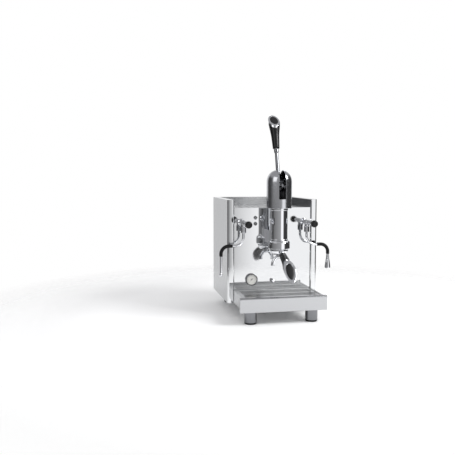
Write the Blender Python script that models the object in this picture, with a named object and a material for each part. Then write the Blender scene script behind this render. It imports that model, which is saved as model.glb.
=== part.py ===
"""A one-group lever espresso machine, built from its separate pieces.

The machine stands on the plane z = 0 and faces -Y. X runs to the right of someone who stands in front of it.
The origin is the middle of the whole machine's footprint, at the height of the surface that it stands on.
"""

import math

import bmesh
import bpy
from mathutils import Matrix, Vector

MM = 0.001
GAP = 0.3 * MM  # between pieces that touch or rest on each other

# Casing
BODY_WIDTH = 324 * MM
BODY_DEPTH = 285 * MM
BODY_TOP_Z = 408 * MM
FOOT_HEIGHT = 47 * MM
SHEET = 1.5 * MM
PILLAR_WIDTH = 24 * MM
PILLAR_RETURN = 12 * MM
PILLAR_FRONT_Y = -24.3 * MM  # front faces of the two side panels
CUP_WALL_HEIGHT = 31.5 * MM
CUP_LEDGE = 10 * MM
PANEL_RECESS = 4 * MM
PANEL_TOP_Z = 380 * MM
PANEL_FLANGE = 14 * MM

# Feet
FOOT_RADIUS = 21 * MM
FOOT_INSET_X = 56 * MM  # from the casing's sides in to the feet's middles
FOOT_FRONT_SETBACK = 112 * MM  # in front of the pillars
FOOT_REAR_SETBACK = 40 * MM  # in front of the casing's back
FOOT_BOLT_RADIUS = 4 * MM
PAD_HEIGHT = 5.7 * MM

# Drip tray
TRAY_REACH = 148 * MM  # in front of the pillars
TRAY_INSET = 22 * MM  # from the casing's sides in to the basin's
TRAY_FRONT_INSET = 13 * MM
TRAY_TOP_Z = 93 * MM
TRAY_FRONT_BOTTOM_Z = 44 * MM
TRAY_CHANNEL_DEPTH = 14 * MM
TRAY_CHANNEL_RADIUS = 6 * MM
TRAY_RIM = 8 * MM
GRATE_SHEET = 1.5 * MM
GRATE_SLOTS = 41
GRATE_SLOT_ROWS = 2
GRATE_SLOT_WIDTH = 3 * MM
GRATE_FRONT_GAP = 3.5 * MM  # the open strip between the grate and the basin's front wall

# Lever group
GROUP_REACH = 77 * MM  # from the pillars' front faces forward to the group's axis
HOUSING_RADIUS = 30.5 * MM
HOUSING_WALL = 4 * MM
HOUSING_TOP_Z = 382 * MM
BELL_BOTTOM_Z = 244 * MM
BELL_HEIGHT = 30 * MM
COVER_RADIUS = 42.5 * MM
COVER_WALL = 2.5 * MM
COVER_TOP_Z = 512 * MM
COVER_SLOT_BOTTOM_Z = 413 * MM
NECK_WIDTH = 48 * MM
NECK_HEIGHT = 46 * MM
NECK_ABOVE_BELL = 8 * MM  # the neck's middle is this far above the bell's top
NECK_PIPE_RADIUS = 17 * MM
NECK_FLANGE = 66 * MM
WATER_WAY_RADIUS = 4 * MM
ROD_RADIUS = 5 * MM
PISTON_ABOVE_BELL_FOOT = 20 * MM
PISTON_HEIGHT = 24 * MM
BAYONET_LIP = 6 * MM
GASKET_HEIGHT = 4.6 * MM
FORK_BASE_HEIGHT = 8 * MM

# Lever drive: the lever turns on the piston rod's pin, and its rollers run in the fork's level slots
LEVER_PIN_Z = 447 * MM
LEVER_TRAVEL_DEG = 125
LEVER_LEAN_DEG = 17
LEVER_ARM = 22 * MM  # from the pin to the rollers
LEVER_ROD_LENGTH = 96 * MM  # from the head to the grip
ROD_SPIGOT_RADIUS = 4 * MM
PIN_RADIUS = 4 * MM
ROLLER_RADIUS = 7 * MM
ROLLER_PLAY = 2.2 * MM  # the slot is open by this much above and below the rollers
FORK_GAP = 24 * MM
FORK_CHEEK = 7 * MM
EYE_HALF = 5 * MM
HEAD_LENGTH = 46 * MM  # from the pin to the socket's end
SOCKET_RADIUS = 9.5 * MM
SPIGOT_DEPTH = 16 * MM
ROD_LOW_RADIUS = 7.4 * MM
ROD_TOP_RADIUS = 5.8 * MM

# Handles: turned grips with a slanting end. Each length runs to the middle of that end
GRIP_ROOT_RADIUS = 11.5 * MM
GRIP_MIDDLE_RADIUS = 14.5 * MM
GRIP_END_RADIUS = 20 * MM
GRIP_CAP_THICKNESS = 6 * MM
GRIP_SOCKET = 30 * MM
LEVER_GRIP_LENGTH = 102 * MM
LEVER_GRIP_SLANT_DEG = 36  # between the handle's axis and its slanting end
HOLDER_GRIP_LENGTH = 95 * MM
HOLDER_GRIP_SLANT_DEG = 26

# Filter holder
HOLDER_RADIUS = 31.8 * MM
HOLDER_TOP_Z = 256.6 * MM
HOLDER_BOTTOM_Z = 225 * MM
HOLDER_DROOP_DEG = 24
HOLDER_NECK_START = 46 * MM  # from the group's axis to the handle's root
HOLDER_NECK_Z = 229 * MM
EAR_REACH = 3.2 * MM
EAR_DEG = 34
UNLOCK_DEG = 50

# Valves and wands
VALVE_SPREAD = 226 * MM
VALVE_Z = 330 * MM
VALVE_RADIUS = 8.5 * MM
VALVE_DEPTH = 26 * MM  # behind the panel
SPINDLE_RADIUS = 3.5 * MM
WAND_SETBACK = 33 * MM  # in front of the pillars
NUT_BOTTOM_Z = 296 * MM
NUT_HEIGHT = 20 * MM
KNOB_RADIUS = 12 * MM
KNOB_REACH = 121 * MM  # in front of the pillars
WAND_RADIUS = 4.2 * MM
WAND_BALL_LIFT = 4.5 * MM  # the ball's lowest point is this far above the nut's foot
WAND_REACH = 78 * MM
WAND_LEVEL_Z = 252 * MM
WAND_BEND = 30 * MM
WAND_GRIP_RUN = 13 * MM  # along the level stretch, before the outer bend
WAND_GRIP_RUN_DOWN = 8 * MM  # below the outer bend
STEAM_TIP_BOTTOM_Z = 166 * MM
STEAM_TIP_HEIGHT = 48 * MM
STEAM_TIP_HOLD = 8 * MM  # of the wand's end inside the tip
WATER_TIP_BOTTOM_Z = 148 * MM
WATER_NOZZLE_HEIGHT = 12 * MM
WATER_NOZZLE_RADIUS = 5.6 * MM

# Gauge, lamps and switch
GAUGE_X = -76 * MM
GAUGE_Z = 128 * MM
GAUGE_RADIUS = 21 * MM
GAUGE_REST_DEG = 135
LAMP_X = -62 * MM
LAMP_Z = 324 * MM
LAMP_PITCH = 21 * MM
LAMP_RADIUS = 6.5 * MM
BUTTON_Z = 122 * MM
BUTTON_RADIUS = 6.5 * MM
BUTTON_REACH = 17 * MM

# Boiler, tank and pump
BOILER_RADIUS = 50 * MM
BOILER_LENGTH = 200 * MM
BOILER_WALL = 2 * MM
ELEMENT_PORT_RADIUS = 18 * MM
BOILER_BEHIND_PANEL = 75 * MM
BOILER_Z = 262 * MM
TANK_WIDTH = 170 * MM
TANK_BEHIND_BOILER = 42.5 * MM
TANK_TOP_Z = 360 * MM
TANK_WALL = 2.5 * MM
PIPE_RADIUS = 3 * MM
INLET_X = 112 * MM
INLET_ABOVE_PAN = 45 * MM
INLET_HALF_WIDTH = 14 * MM
INLET_HALF_HEIGHT = 10 * MM
VENT_Z = 150 * MM

# Places that follow from the sizes above
REAR_Y = PILLAR_FRONT_Y + BODY_DEPTH
PANEL_Y = PILLAR_FRONT_Y + PANEL_RECESS
GROUP_Y = PILLAR_FRONT_Y - GROUP_REACH
INNER_WIDTH = BODY_WIDTH - 2 * PILLAR_WIDTH
FOOT_SPACING_X = BODY_WIDTH - 2 * FOOT_INSET_X
TRAY_WIDTH = BODY_WIDTH - 2 * TRAY_INSET
TRAY_FRONT_WIDTH = BODY_WIDTH - 2 * TRAY_FRONT_INSET
CUP_FLOOR_Z = BODY_TOP_Z - CUP_WALL_HEIGHT
BELL_TOP_Z = BELL_BOTTOM_Z + BELL_HEIGHT
TRAY_FRONT_Y = PILLAR_FRONT_Y - TRAY_REACH
WAND_Y = PILLAR_FRONT_Y - WAND_SETBACK
HALF_SWING = math.radians(LEVER_TRAVEL_DEG) / 2
ROLLER_AHEAD = LEVER_ARM * math.cos(HALF_SWING)
ROLLER_ABOVE = LEVER_ARM * math.sin(HALF_SWING)
NECK_MIDDLE_Z = BELL_TOP_Z + NECK_ABOVE_BELL
NECK_PIPE_LENGTH = BOILER_BEHIND_PANEL - BOILER_RADIUS + 6 * MM
BORE_RADIUS = HOUSING_RADIUS - HOUSING_WALL
PISTON_RADIUS = BORE_RADIUS - GAP
PISTON_BOTTOM_Z = BELL_BOTTOM_Z + PISTON_ABOVE_BELL_FOOT
BAYONET_BORE = HOLDER_RADIUS + 0.5 * MM
BAYONET_GROOVE = HOLDER_RADIUS + EAR_REACH + 0.5 * MM
BELL_RADIUS = BAYONET_GROOVE + 2 * MM
BASKET_RADIUS = HOLDER_RADIUS - 4.6 * MM
FORK_BASE_Z = HOUSING_TOP_Z + GAP
COVER_SLOT_WIDTH = FORK_GAP
HEAD_HALF = FORK_GAP / 2 - 0.8 * MM
SPIGOT_START = HEAD_LENGTH - SPIGOT_DEPTH
WAND_GRIP_RADIUS = WAND_RADIUS + 1.7 * MM
WAND_BALL_RADIUS = WAND_RADIUS + 2.4 * MM
NUT_RADIUS = WAND_BALL_RADIUS + 2.9 * MM
WAND_BALL_Z = NUT_BOTTOM_Z + WAND_BALL_LIFT + WAND_BALL_RADIUS
BOILER_Y = PANEL_Y + BOILER_BEHIND_PANEL
TANK_FRONT_Y = BOILER_Y + BOILER_RADIUS + TANK_BEHIND_BOILER
TANK_BACK_Y = REAR_Y - SHEET - 12 * MM
INLET_Z = FOOT_HEIGHT + INLET_ABOVE_PAN

ROUND_STEPS = 28
SMALL_STEPS = 12


# ---------------------------------------------------------------- helpers


def clear_scene():
    """Removes whatever the file holds."""
    for obj in list(bpy.data.objects):
        bpy.data.objects.remove(obj)


def finish_material(name, colour, roughness, metallic):
    """One Principled BSDF finish."""
    material = bpy.data.materials.new(name)
    material.use_nodes = True
    shader = material.node_tree.nodes["Principled BSDF"]
    shader.inputs["Base Color"].default_value = (*colour, 1.0)
    shader.inputs["Roughness"].default_value = roughness
    shader.inputs["Metallic"].default_value = metallic
    material.diffuse_color = (*colour, 1.0)
    return material


def make_finishes():
    """The machine's finishes, by name."""
    table = {
        "polished_steel": ((0.80, 0.80, 0.81), 0.06, 1.0),
        "brushed_steel": ((0.62, 0.62, 0.63), 0.30, 1.0),
        "chrome": ((0.78, 0.79, 0.80), 0.04, 1.0),
        "black_plastic": ((0.015, 0.015, 0.016), 0.35, 0.0),
        "black_rubber": ((0.02, 0.02, 0.02), 0.75, 0.0),
        "spring_steel": ((0.35, 0.35, 0.36), 0.40, 1.0),
        "copper": ((0.85, 0.45, 0.30), 0.30, 1.0),
        "clear_plastic": ((0.75, 0.80, 0.82), 0.10, 0.0),
        "dial_white": ((0.85, 0.85, 0.83), 0.50, 0.0),
        "lamp_lens": ((0.75, 0.72, 0.62), 0.15, 0.0),
    }
    return {name: finish_material(name, *values) for name, values in table.items()}


def add_object(name, shape, finish):
    """Turns a bmesh into a named object, with its faces pointing out and its round parts smooth."""
    bmesh.ops.remove_doubles(shape, verts=shape.verts, dist=1e-6)
    bmesh.ops.recalc_face_normals(shape, faces=shape.faces)
    mesh = bpy.data.meshes.new(name)
    shape.to_mesh(mesh)
    shape.free()
    mesh.shade_smooth()
    mesh.set_sharp_from_angle(angle=math.radians(35))
    obj = bpy.data.objects.new(name, mesh)
    bpy.context.scene.collection.objects.link(obj)
    if finish is not None:
        mesh.materials.append(FINISHES[finish])
    return obj


def block(low, high):
    """A box between two corners."""
    shape = bmesh.new()
    size = Vector(high) - Vector(low)
    middle = (Vector(high) + Vector(low)) / 2
    matrix = Matrix.Translation(middle) @ Matrix.Diagonal((*size, 1.0))
    bmesh.ops.create_cube(shape, size=1.0, matrix=matrix)
    return shape


def turned(profile, steps=ROUND_STEPS, centre=(0, 0, 0), axis="Z", sweep_deg=360.0, start_deg=0.0):
    """A turned shape. profile lists (radius, height) round a closed section, or from axis to axis."""
    shape = bmesh.new()
    whole = sweep_deg >= 360.0
    count = steps if whole else steps + 1
    rings = []
    for radius, height in profile:
        if radius <= 1e-9:
            rings.append([shape.verts.new((0, 0, height))] * count)
            continue
        ring = []
        for index in range(count):
            angle = math.radians(start_deg + sweep_deg * index / steps)
            ring.append(shape.verts.new((radius * math.cos(angle), radius * math.sin(angle), height)))
        rings.append(ring)
    closed = profile[0][0] > 1e-9
    pairs = list(zip(rings, rings[1:] + rings[:1])) if closed else list(zip(rings, rings[1:]))
    for lower, upper in pairs:
        for index in range(steps):
            after = (index + 1) % count
            corners = [lower[index], lower[after], upper[after], upper[index]]
            unique = list(dict.fromkeys(corners))
            if len(unique) > 2:
                shape.faces.new(unique)
    if not whole:
        for index in (0, count - 1):
            corners = list(dict.fromkeys(ring[index] for ring in rings))
            shape.faces.new(corners)
    return placed(shape, centre, axis)


def placed(shape, centre, axis="Z"):
    """Turns a shape that was made along Z onto another axis, and moves it to its place."""
    turn = {
        "Z": Matrix.Identity(4),
        "X": Matrix.Rotation(math.radians(90), 4, "Y"),
        "-X": Matrix.Rotation(math.radians(-90), 4, "Y"),
        "-Y": Matrix.Rotation(math.radians(90), 4, "X"),
        "Y": Matrix.Rotation(math.radians(-90), 4, "X"),
        "-Z": Matrix.Rotation(math.radians(180), 4, "X"),
    }[axis]
    bmesh.ops.transform(shape, matrix=Matrix.Translation(centre) @ turn, verts=shape.verts)
    return shape


def rod(radius, low, high, steps=SMALL_STEPS, centre=(0, 0, 0), axis="Z"):
    """A plain solid cylinder between two heights on its own axis."""
    return turned([(0, low), (radius, low), (radius, high), (0, high)], steps, centre, axis)


def tube(outer, inner, low, high, steps=ROUND_STEPS, centre=(0, 0, 0), axis="Z"):
    """A plain hollow cylinder."""
    profile = [(inner, low), (outer, low), (outer, high), (inner, high)]
    return turned(profile, steps, centre, axis)


def joined(*shapes):
    """Several separate solids in one bmesh."""
    whole = bmesh.new()
    for shape in shapes:
        mesh = bpy.data.meshes.new("join")
        shape.to_mesh(mesh)
        shape.free()
        whole.from_mesh(mesh)
        bpy.data.meshes.remove(mesh)
    return whole


def combine(obj, shape, operation):
    """Cuts a shape from an object, or joins it on, and keeps the result."""
    other = add_object(obj.name + "_tool", shape, None)
    modifier = obj.modifiers.new("combine", "BOOLEAN")
    modifier.object = other
    modifier.operation = operation
    modifier.solver = "EXACT"
    bpy.context.view_layer.update()
    graph = bpy.context.evaluated_depsgraph_get()
    result = bpy.data.meshes.new_from_object(obj.evaluated_get(graph))
    obj.modifiers.clear()
    old = obj.data
    obj.data = result
    result.name = obj.name
    bpy.data.meshes.remove(old)
    bpy.data.objects.remove(other)
    return obj


def cut(obj, *shapes):
    """Cuts each shape from the object in turn."""
    for shape in shapes:
        combine(obj, shape, "DIFFERENCE")
    return obj


def add(obj, *shapes):
    """Joins each overlapping shape onto the object in turn."""
    for shape in shapes:
        combine(obj, shape, "UNION")
    return obj


def swept(points, radius, sides):
    """A round bar along a path of points, with flat closed ends and no twist."""
    path = [Vector(point) for point in points]
    shape = bmesh.new()
    across = None
    rings = []
    for index, point in enumerate(path):
        ahead = path[min(index + 1, len(path) - 1)] - path[max(index - 1, 0)]
        ahead.normalize()
        if across is None:
            across = ahead.orthogonal().normalized()
        across = (across - ahead * across.dot(ahead)).normalized()
        other = ahead.cross(across)
        ring = []
        for step in range(sides):
            angle = 2 * math.pi * step / sides
            outward = across * math.cos(angle) + other * math.sin(angle)
            ring.append(shape.verts.new(point + outward * radius))
        rings.append(ring)
    for first, second in zip(rings, rings[1:]):
        for step in range(sides):
            after = (step + 1) % sides
            shape.faces.new((first[step], first[after], second[after], second[step]))
    shape.faces.new(rings[0][::-1])
    shape.faces.new(rings[-1])
    return shape


def corner_arc(before, corner, after, radius, steps):
    """Points round a bend of the given radius at a corner between two straight runs."""
    back = (Vector(before) - Vector(corner)).normalized()
    ahead = (Vector(after) - Vector(corner)).normalized()
    half = back.angle(ahead) / 2
    reach = radius / math.tan(half)
    centre = Vector(corner) + (back + ahead).normalized() * (radius / math.sin(half))
    start = (Vector(corner) + back * reach - centre).normalized()
    end = (Vector(corner) + ahead * reach - centre).normalized()
    return [centre + start.slerp(end, index / steps) * radius for index in range(steps + 1)]


def on_axis_frame(root, direction, up):
    """A matrix whose Z runs along direction and whose Y is as near as it can be to up."""
    z_axis = Vector(direction).normalized()
    x_axis = Vector(up).cross(z_axis).normalized()
    y_axis = z_axis.cross(x_axis)
    matrix = Matrix((x_axis, y_axis, z_axis)).transposed().to_4x4()
    matrix.translation = Vector(root)
    return matrix


# ---------------------------------------------------------------- casing


def side_panel(name, side):
    """Outer skin with a pillar folded in at the front, a flat top and an inner wall down to a ledge."""
    outer = side * BODY_WIDTH / 2
    inner = side * INNER_WIDTH / 2
    top, bottom = BODY_TOP_Z, FOOT_HEIGHT
    front, back = PILLAR_FRONT_Y, REAR_Y - SHEET - GAP

    def slab(x_one, x_two, y_one, y_two, z_one, z_two):
        return block((min(x_one, x_two), y_one, z_one), (max(x_one, x_two), y_two, z_two))

    lower = CUP_FLOOR_Z - SHEET
    panel = add_object(name, slab(outer, outer - side * SHEET, front, back, bottom, top), "polished_steel")
    add(
        panel,
        slab(outer, inner, front, front + SHEET, bottom, top),
        slab(inner + side * SHEET, inner, front, front + PILLAR_RETURN, bottom, top),
        slab(outer, inner, front, back, top - SHEET, top),
        slab(inner + side * SHEET, inner, front, back, lower, top),
        slab(inner + side * SHEET, inner - side * CUP_LEDGE, front + PILLAR_RETURN, back, lower, CUP_FLOOR_Z),
    )
    return panel


def front_panel():
    """Polished front between the pillars, with a flange round its back and a hole for each fitting."""
    half = INNER_WIDTH / 2 - GAP
    bottom = FOOT_HEIGHT + SHEET + GAP
    back = PANEL_Y + PANEL_FLANGE
    notch = half - CUP_LEDGE - GAP
    panel = add_object(
        "front_panel", block((-half, PANEL_Y, bottom), (half, back, PANEL_TOP_Z)), "polished_steel"
    )
    through = 30 * MM
    hollow_low = (-half + SHEET, PANEL_Y + SHEET, bottom - through)
    cut(panel, block(hollow_low, (half - SHEET, back + through, PANEL_TOP_Z - SHEET)))
    ledge_low, ledge_high = CUP_FLOOR_Z - SHEET - GAP, CUP_FLOOR_Z + GAP
    ledge_y = PILLAR_FRONT_Y + PILLAR_RETURN - GAP
    for side in (-1, 1):
        x_values = sorted((side * notch, side * (half + through)))
        cut(panel, block((x_values[0], ledge_y, ledge_low), (x_values[1], back + through, ledge_high)))
    holes = [
        (GAUGE_X, GAUGE_Z, GAUGE_RADIUS - 2.5 * MM),
        (0, BUTTON_Z, BUTTON_RADIUS + GAP),
        (0, NECK_MIDDLE_Z, NECK_PIPE_RADIUS + 1 * MM),
    ]
    holes += [(LAMP_X, LAMP_Z + row * LAMP_PITCH, LAMP_RADIUS * 0.7 + GAP) for row in range(2)]
    holes += [(side * VALVE_SPREAD / 2, VALVE_Z, VALVE_RADIUS + GAP) for side in (-1, 1)]
    drills = [rod(radius, -10 * MM, 10 * MM, 16, (x, PANEL_Y, z), "-Y") for x, z, radius in holes]
    return cut(panel, joined(*drills))


def rear_panel():
    """Back sheet over the full width, with cooling slots and a hole for the mains inlet."""
    half = BODY_WIDTH / 2
    low, high = REAR_Y - SHEET, REAR_Y
    panel = add_object(
        "rear_panel", block((-half, low, FOOT_HEIGHT), (half, high, BODY_TOP_Z)), "polished_steel"
    )
    slots, slot_width, slot_height, pitch = 7, 5 * MM, 60 * MM, 16 * MM
    for index in range(slots):
        middle = (index - (slots - 1) / 2) * pitch
        cut(
            panel,
            block(
                (middle - slot_width / 2, low - 5 * MM, VENT_Z),
                (middle + slot_width / 2, high + 5 * MM, VENT_Z + slot_height),
            ),
        )
    cut(
        panel,
        block(
            (INLET_X - INLET_HALF_WIDTH - GAP, low - 5 * MM, INLET_Z - INLET_HALF_HEIGHT - GAP),
            (INLET_X + INLET_HALF_WIDTH + GAP, high + 5 * MM, INLET_Z + INLET_HALF_HEIGHT + GAP),
        ),
    )
    return panel


def base_pan():
    """Bottom sheet inside the casing, with a tongue forward under the drip tray."""
    half = BODY_WIDTH / 2 - SHEET - GAP
    tongue = INNER_WIDTH / 2 - GAP
    inside_y = PILLAR_FRONT_Y + PILLAR_RETURN + GAP
    front_y = TRAY_FRONT_Y + SHEET + 5 * MM
    low, high = FOOT_HEIGHT, FOOT_HEIGHT + SHEET
    floor = block((-half, inside_y, low), (half, REAR_Y - SHEET - GAP, high))
    pan = add_object("base_pan", floor, "brushed_steel")
    add(pan, block((-tongue, front_y, low), (tongue, inside_y + 5 * MM, high)))
    for place in foot_places():
        cut(pan, rod(FOOT_BOLT_RADIUS + GAP, -10 * MM, 10 * MM, 12, (*place, low)))
    return pan


def cup_tray():
    """Lift-off plate that warms cups and covers the tank, with a row of slots over the boiler."""
    half = INNER_WIDTH / 2 - 2 * GAP
    front = PANEL_Y + PANEL_FLANGE + 2 * GAP
    back = REAR_Y - SHEET - 2 * GAP
    low = CUP_FLOOR_Z + GAP
    tray = add_object("cup_tray", block((-half, front, low), (half, back, low + SHEET)), "brushed_steel")
    slots, slot_width, slot_length, pitch = 9, 5 * MM, 70 * MM, 24 * MM
    for index in range(slots):
        middle = (index - (slots - 1) / 2) * pitch
        cut(
            tray,
            block(
                (middle - slot_width / 2, front + 40 * MM, low - 5 * MM),
                (middle + slot_width / 2, front + 40 * MM + slot_length, low + 10 * MM),
            ),
        )
    return tray


def foot_places():
    """The middle of each foot, as (x, y)."""
    half = FOOT_SPACING_X / 2
    rows = (PILLAR_FRONT_Y - FOOT_FRONT_SETBACK, REAR_Y - FOOT_REAR_SETBACK)
    return [(side * half, row) for row in rows for side in (-1, 1)]


def feet():
    """Steel feet with a stud up through the pan, each with a rubber pad pressed into it from below."""
    top = FOOT_HEIGHT - GAP
    wall, web, edge = 4 * MM, 12 * MM, 1 * MM
    bore = FOOT_RADIUS - wall
    pad_radius = FOOT_RADIUS - 0.8 * MM
    stud_top = FOOT_HEIGHT + SHEET
    foot = [
        (0, top - web),
        (bore, top - web),
        (bore, PAD_HEIGHT + GAP),
        (FOOT_RADIUS, PAD_HEIGHT + GAP),
        (FOOT_RADIUS, top - edge),
        (FOOT_RADIUS - edge, top),
        (FOOT_BOLT_RADIUS, top),
        (FOOT_BOLT_RADIUS, stud_top),
        (0, stud_top),
    ]
    pad = [
        (0, 0),
        (pad_radius - edge, 0),
        (pad_radius, edge),
        (pad_radius, PAD_HEIGHT),
        (bore - GAP, PAD_HEIGHT),
        (bore - GAP, PAD_HEIGHT + 10 * MM),
        (0, PAD_HEIGHT + 10 * MM),
    ]
    corners = ("front_left", "front_right", "rear_left", "rear_right")
    for corner, place in zip(corners, foot_places()):
        add_object("foot_" + corner, turned(foot, 16, (*place, 0)), "brushed_steel")
        add_object("foot_pad_" + corner, turned(pad, 16, (*place, 0)), "black_rubber")


# ---------------------------------------------------------------- drip tray


def drip_tray():
    """Basin with a rim at its sides and back, a folded front channel, and a slotted grate inside the rim."""
    floor = FOOT_HEIGHT + SHEET + GAP
    back = PILLAR_FRONT_Y - 0.5 * MM
    front = TRAY_FRONT_Y + TRAY_CHANNEL_DEPTH + GAP
    seat = TRAY_TOP_Z - 3 * MM
    ledge = 4 * MM
    half = TRAY_WIDTH / 2

    def opening(inset, low, high):
        return block((-half + inset, front + SHEET, low), (half - inset, back - inset, high))

    basin = add_object(
        "drip_tray_basin", block((-half, front, floor), (half, back, TRAY_TOP_Z)), "brushed_steel"
    )
    cut(
        basin,
        opening(SHEET, floor + SHEET, seat - SHEET - GAP),
        opening(TRAY_RIM + ledge, seat - 10 * MM, seat + 1 * MM),
        opening(TRAY_RIM, seat - GAP, TRAY_TOP_Z + 5 * MM),
    )
    tray_front_channel()
    inset = TRAY_RIM + GAP
    drip_grate(-half + inset, front + SHEET + GRATE_FRONT_GAP, half - inset, back - inset, seat)


def tray_front_channel():
    """The tray's front: a channel open at the back, with its top edge rolled over."""
    half = TRAY_FRONT_WIDTH / 2
    low, high = TRAY_FRONT_BOTTOM_Z, TRAY_TOP_Z
    back = TRAY_FRONT_Y + TRAY_CHANNEL_DEPTH
    shape = block((-half, TRAY_FRONT_Y, low), (half, back, high))
    edges = [
        edge
        for edge in shape.edges
        if all(abs(vert.co.y - TRAY_FRONT_Y) < 1e-6 and abs(vert.co.z - high) < 1e-6 for vert in edge.verts)
    ]
    bmesh.ops.bevel(shape, geom=edges, offset=TRAY_CHANNEL_RADIUS, segments=4, profile=0.5, affect="EDGES")
    channel = add_object("drip_tray_front", shape, "brushed_steel")
    inner = block(
        (-half + SHEET, TRAY_FRONT_Y + SHEET, low + SHEET), (half - SHEET, back + 10 * MM, high - SHEET)
    )
    edges = [
        edge
        for edge in inner.edges
        if all(vert.co.y < back and abs(vert.co.z - (high - SHEET)) < 1e-6 for vert in edge.verts)
    ]
    bmesh.ops.bevel(
        inner, geom=edges, offset=TRAY_CHANNEL_RADIUS - SHEET / 2, segments=4, profile=0.5, affect="EDGES"
    )
    cut(channel, inner)


def drip_grate(x_low, y_low, x_high, y_high, seat):
    """Flat slotted plate with a finger notch in its front edge."""
    plate = block((x_low, y_low, seat), (x_high, y_high, seat + GRATE_SHEET))
    grate = add_object("drip_grate", plate, "brushed_steel")
    margin, bridge = 8 * MM, 10 * MM
    row_depth = (y_high - y_low - 2 * margin - (GRATE_SLOT_ROWS - 1) * bridge) / GRATE_SLOT_ROWS
    pitch = (x_high - x_low - 2 * margin) / GRATE_SLOTS
    middle_x = (x_low + x_high) / 2
    slots = []
    for row in range(GRATE_SLOT_ROWS):
        start = y_low + margin + row * (row_depth + bridge)
        for index in range(GRATE_SLOTS):
            middle = x_low + margin + (index + 0.5) * pitch
            low = (middle - GRATE_SLOT_WIDTH / 2, start, seat - 3 * MM)
            slots.append(block(low, (middle + GRATE_SLOT_WIDTH / 2, start + row_depth, seat + 5 * MM)))
    cut(grate, joined(*slots))
    notch, depth = 34 * MM, 5 * MM
    notch_low = (middle_x - notch / 2, y_low - 5 * MM, seat - 3 * MM)
    cut(grate, block(notch_low, (middle_x + notch / 2, y_low + depth, seat + 5 * MM)))
    return grate


# ---------------------------------------------------------------- lever group


def group_neck():
    """Cast neck from the boiler to the group: a flange outside the panel, a block and a pipe behind."""
    group = (0, GROUP_Y, 0)
    front = GROUP_Y + HOUSING_RADIUS * 0.6
    flange_front = PANEL_Y - 5 * MM
    half_width, half_height = NECK_WIDTH / 2, NECK_HEIGHT / 2
    neck = add_object(
        "group_neck",
        block(
            (-half_width, front, NECK_MIDDLE_Z - half_height),
            (half_width, (flange_front + PANEL_Y) / 2, NECK_MIDDLE_Z + half_height),
        ),
        "chrome",
    )
    half = NECK_FLANGE / 2
    pipe_place = (0, PANEL_Y, NECK_MIDDLE_Z)
    add(
        neck,
        block((-half, flange_front, NECK_MIDDLE_Z - half), (half, PANEL_Y - GAP, NECK_MIDDLE_Z + half)),
        rod(NECK_PIPE_RADIUS, -1 * MM, NECK_PIPE_LENGTH, 24, pipe_place, "Y"),
    )
    cut(
        neck,
        rod(HOUSING_RADIUS + GAP, BELL_TOP_Z - 60 * MM, HOUSING_TOP_Z, ROUND_STEPS, group),
        rod(BELL_RADIUS + GAP, BELL_BOTTOM_Z - 30 * MM, BELL_TOP_Z + GAP, ROUND_STEPS, group),
        rod(WATER_WAY_RADIUS, -80 * MM, NECK_PIPE_LENGTH + 5 * MM, SMALL_STEPS, pipe_place, "Y"),
    )
    return neck


def group_bell():
    """Turned bell at the foot of the group, with a bayonet groove for the filter holder's two ears."""
    centre = (0, GROUP_Y, 0)
    lip_top = BELL_BOTTOM_Z + BAYONET_LIP
    groove_top = HOLDER_TOP_Z + 1.4 * MM
    seat_top = groove_top + GASKET_HEIGHT + GAP
    edge = 2 * MM
    profile = [
        (BAYONET_BORE, BELL_BOTTOM_Z),
        (BELL_RADIUS - edge, BELL_BOTTOM_Z),
        (BELL_RADIUS, BELL_BOTTOM_Z + edge),
        (BELL_RADIUS, BELL_TOP_Z - edge),
        (BELL_RADIUS - edge, BELL_TOP_Z),
        (BORE_RADIUS, BELL_TOP_Z),
        (BORE_RADIUS, seat_top),
        (BAYONET_BORE + 1 * MM, seat_top),
        (BAYONET_BORE + 1 * MM, groove_top),
        (BAYONET_GROOVE, groove_top),
        (BAYONET_GROOVE, lip_top),
        (BAYONET_BORE, lip_top),
    ]
    bell = add_object("group_bell", turned(profile, ROUND_STEPS, centre), "chrome")
    for side_deg in (0, 180):
        start = side_deg - UNLOCK_DEG - EAR_DEG / 2 - 4
        notch = [
            (BAYONET_BORE - 3 * MM, BELL_BOTTOM_Z - 3 * MM),
            (BAYONET_GROOVE, BELL_BOTTOM_Z - 3 * MM),
            (BAYONET_GROOVE, lip_top + 0.5 * MM),
            (BAYONET_BORE - 3 * MM, lip_top + 0.5 * MM),
        ]
        cut(bell, turned(notch, 6, centre, "Z", EAR_DEG + 8, start))
    gasket_low = groove_top
    add_object(
        "group_gasket",
        tube(BAYONET_BORE + 0.7 * MM, 26.8 * MM, gasket_low, gasket_low + GASKET_HEIGHT, 24, centre),
        "black_rubber",
    )
    screen_low = gasket_low + 2.2 * MM
    screen = rod(26.4 * MM, screen_low, screen_low + 1.2 * MM, 24, centre)
    add_object("shower_screen", screen, "brushed_steel")
    return bell


def spring_housing():
    """Cylinder that holds the spring, closed at the top except for the piston rod's bore."""
    centre = (0, GROUP_Y, 0)
    cap = 7 * MM
    profile = [
        (BORE_RADIUS, BELL_TOP_Z + GAP),
        (HOUSING_RADIUS, BELL_TOP_Z + GAP),
        (HOUSING_RADIUS, HOUSING_TOP_Z),
        (ROD_RADIUS + GAP, HOUSING_TOP_Z),
        (ROD_RADIUS + GAP, HOUSING_TOP_Z - cap),
        (BORE_RADIUS, HOUSING_TOP_Z - cap),
    ]
    housing = add_object("spring_housing", turned(profile, ROUND_STEPS, centre), "chrome")
    way_place = (0, GROUP_Y + BORE_RADIUS, NECK_MIDDLE_Z)
    cut(housing, rod(WATER_WAY_RADIUS, -10 * MM, 30 * MM, SMALL_STEPS, way_place, "Y"))
    spring_top = HOUSING_TOP_Z - cap - GAP
    spring_low = PISTON_BOTTOM_Z + PISTON_HEIGHT + GAP
    main_spring(spring_low, spring_top)
    return housing


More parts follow.
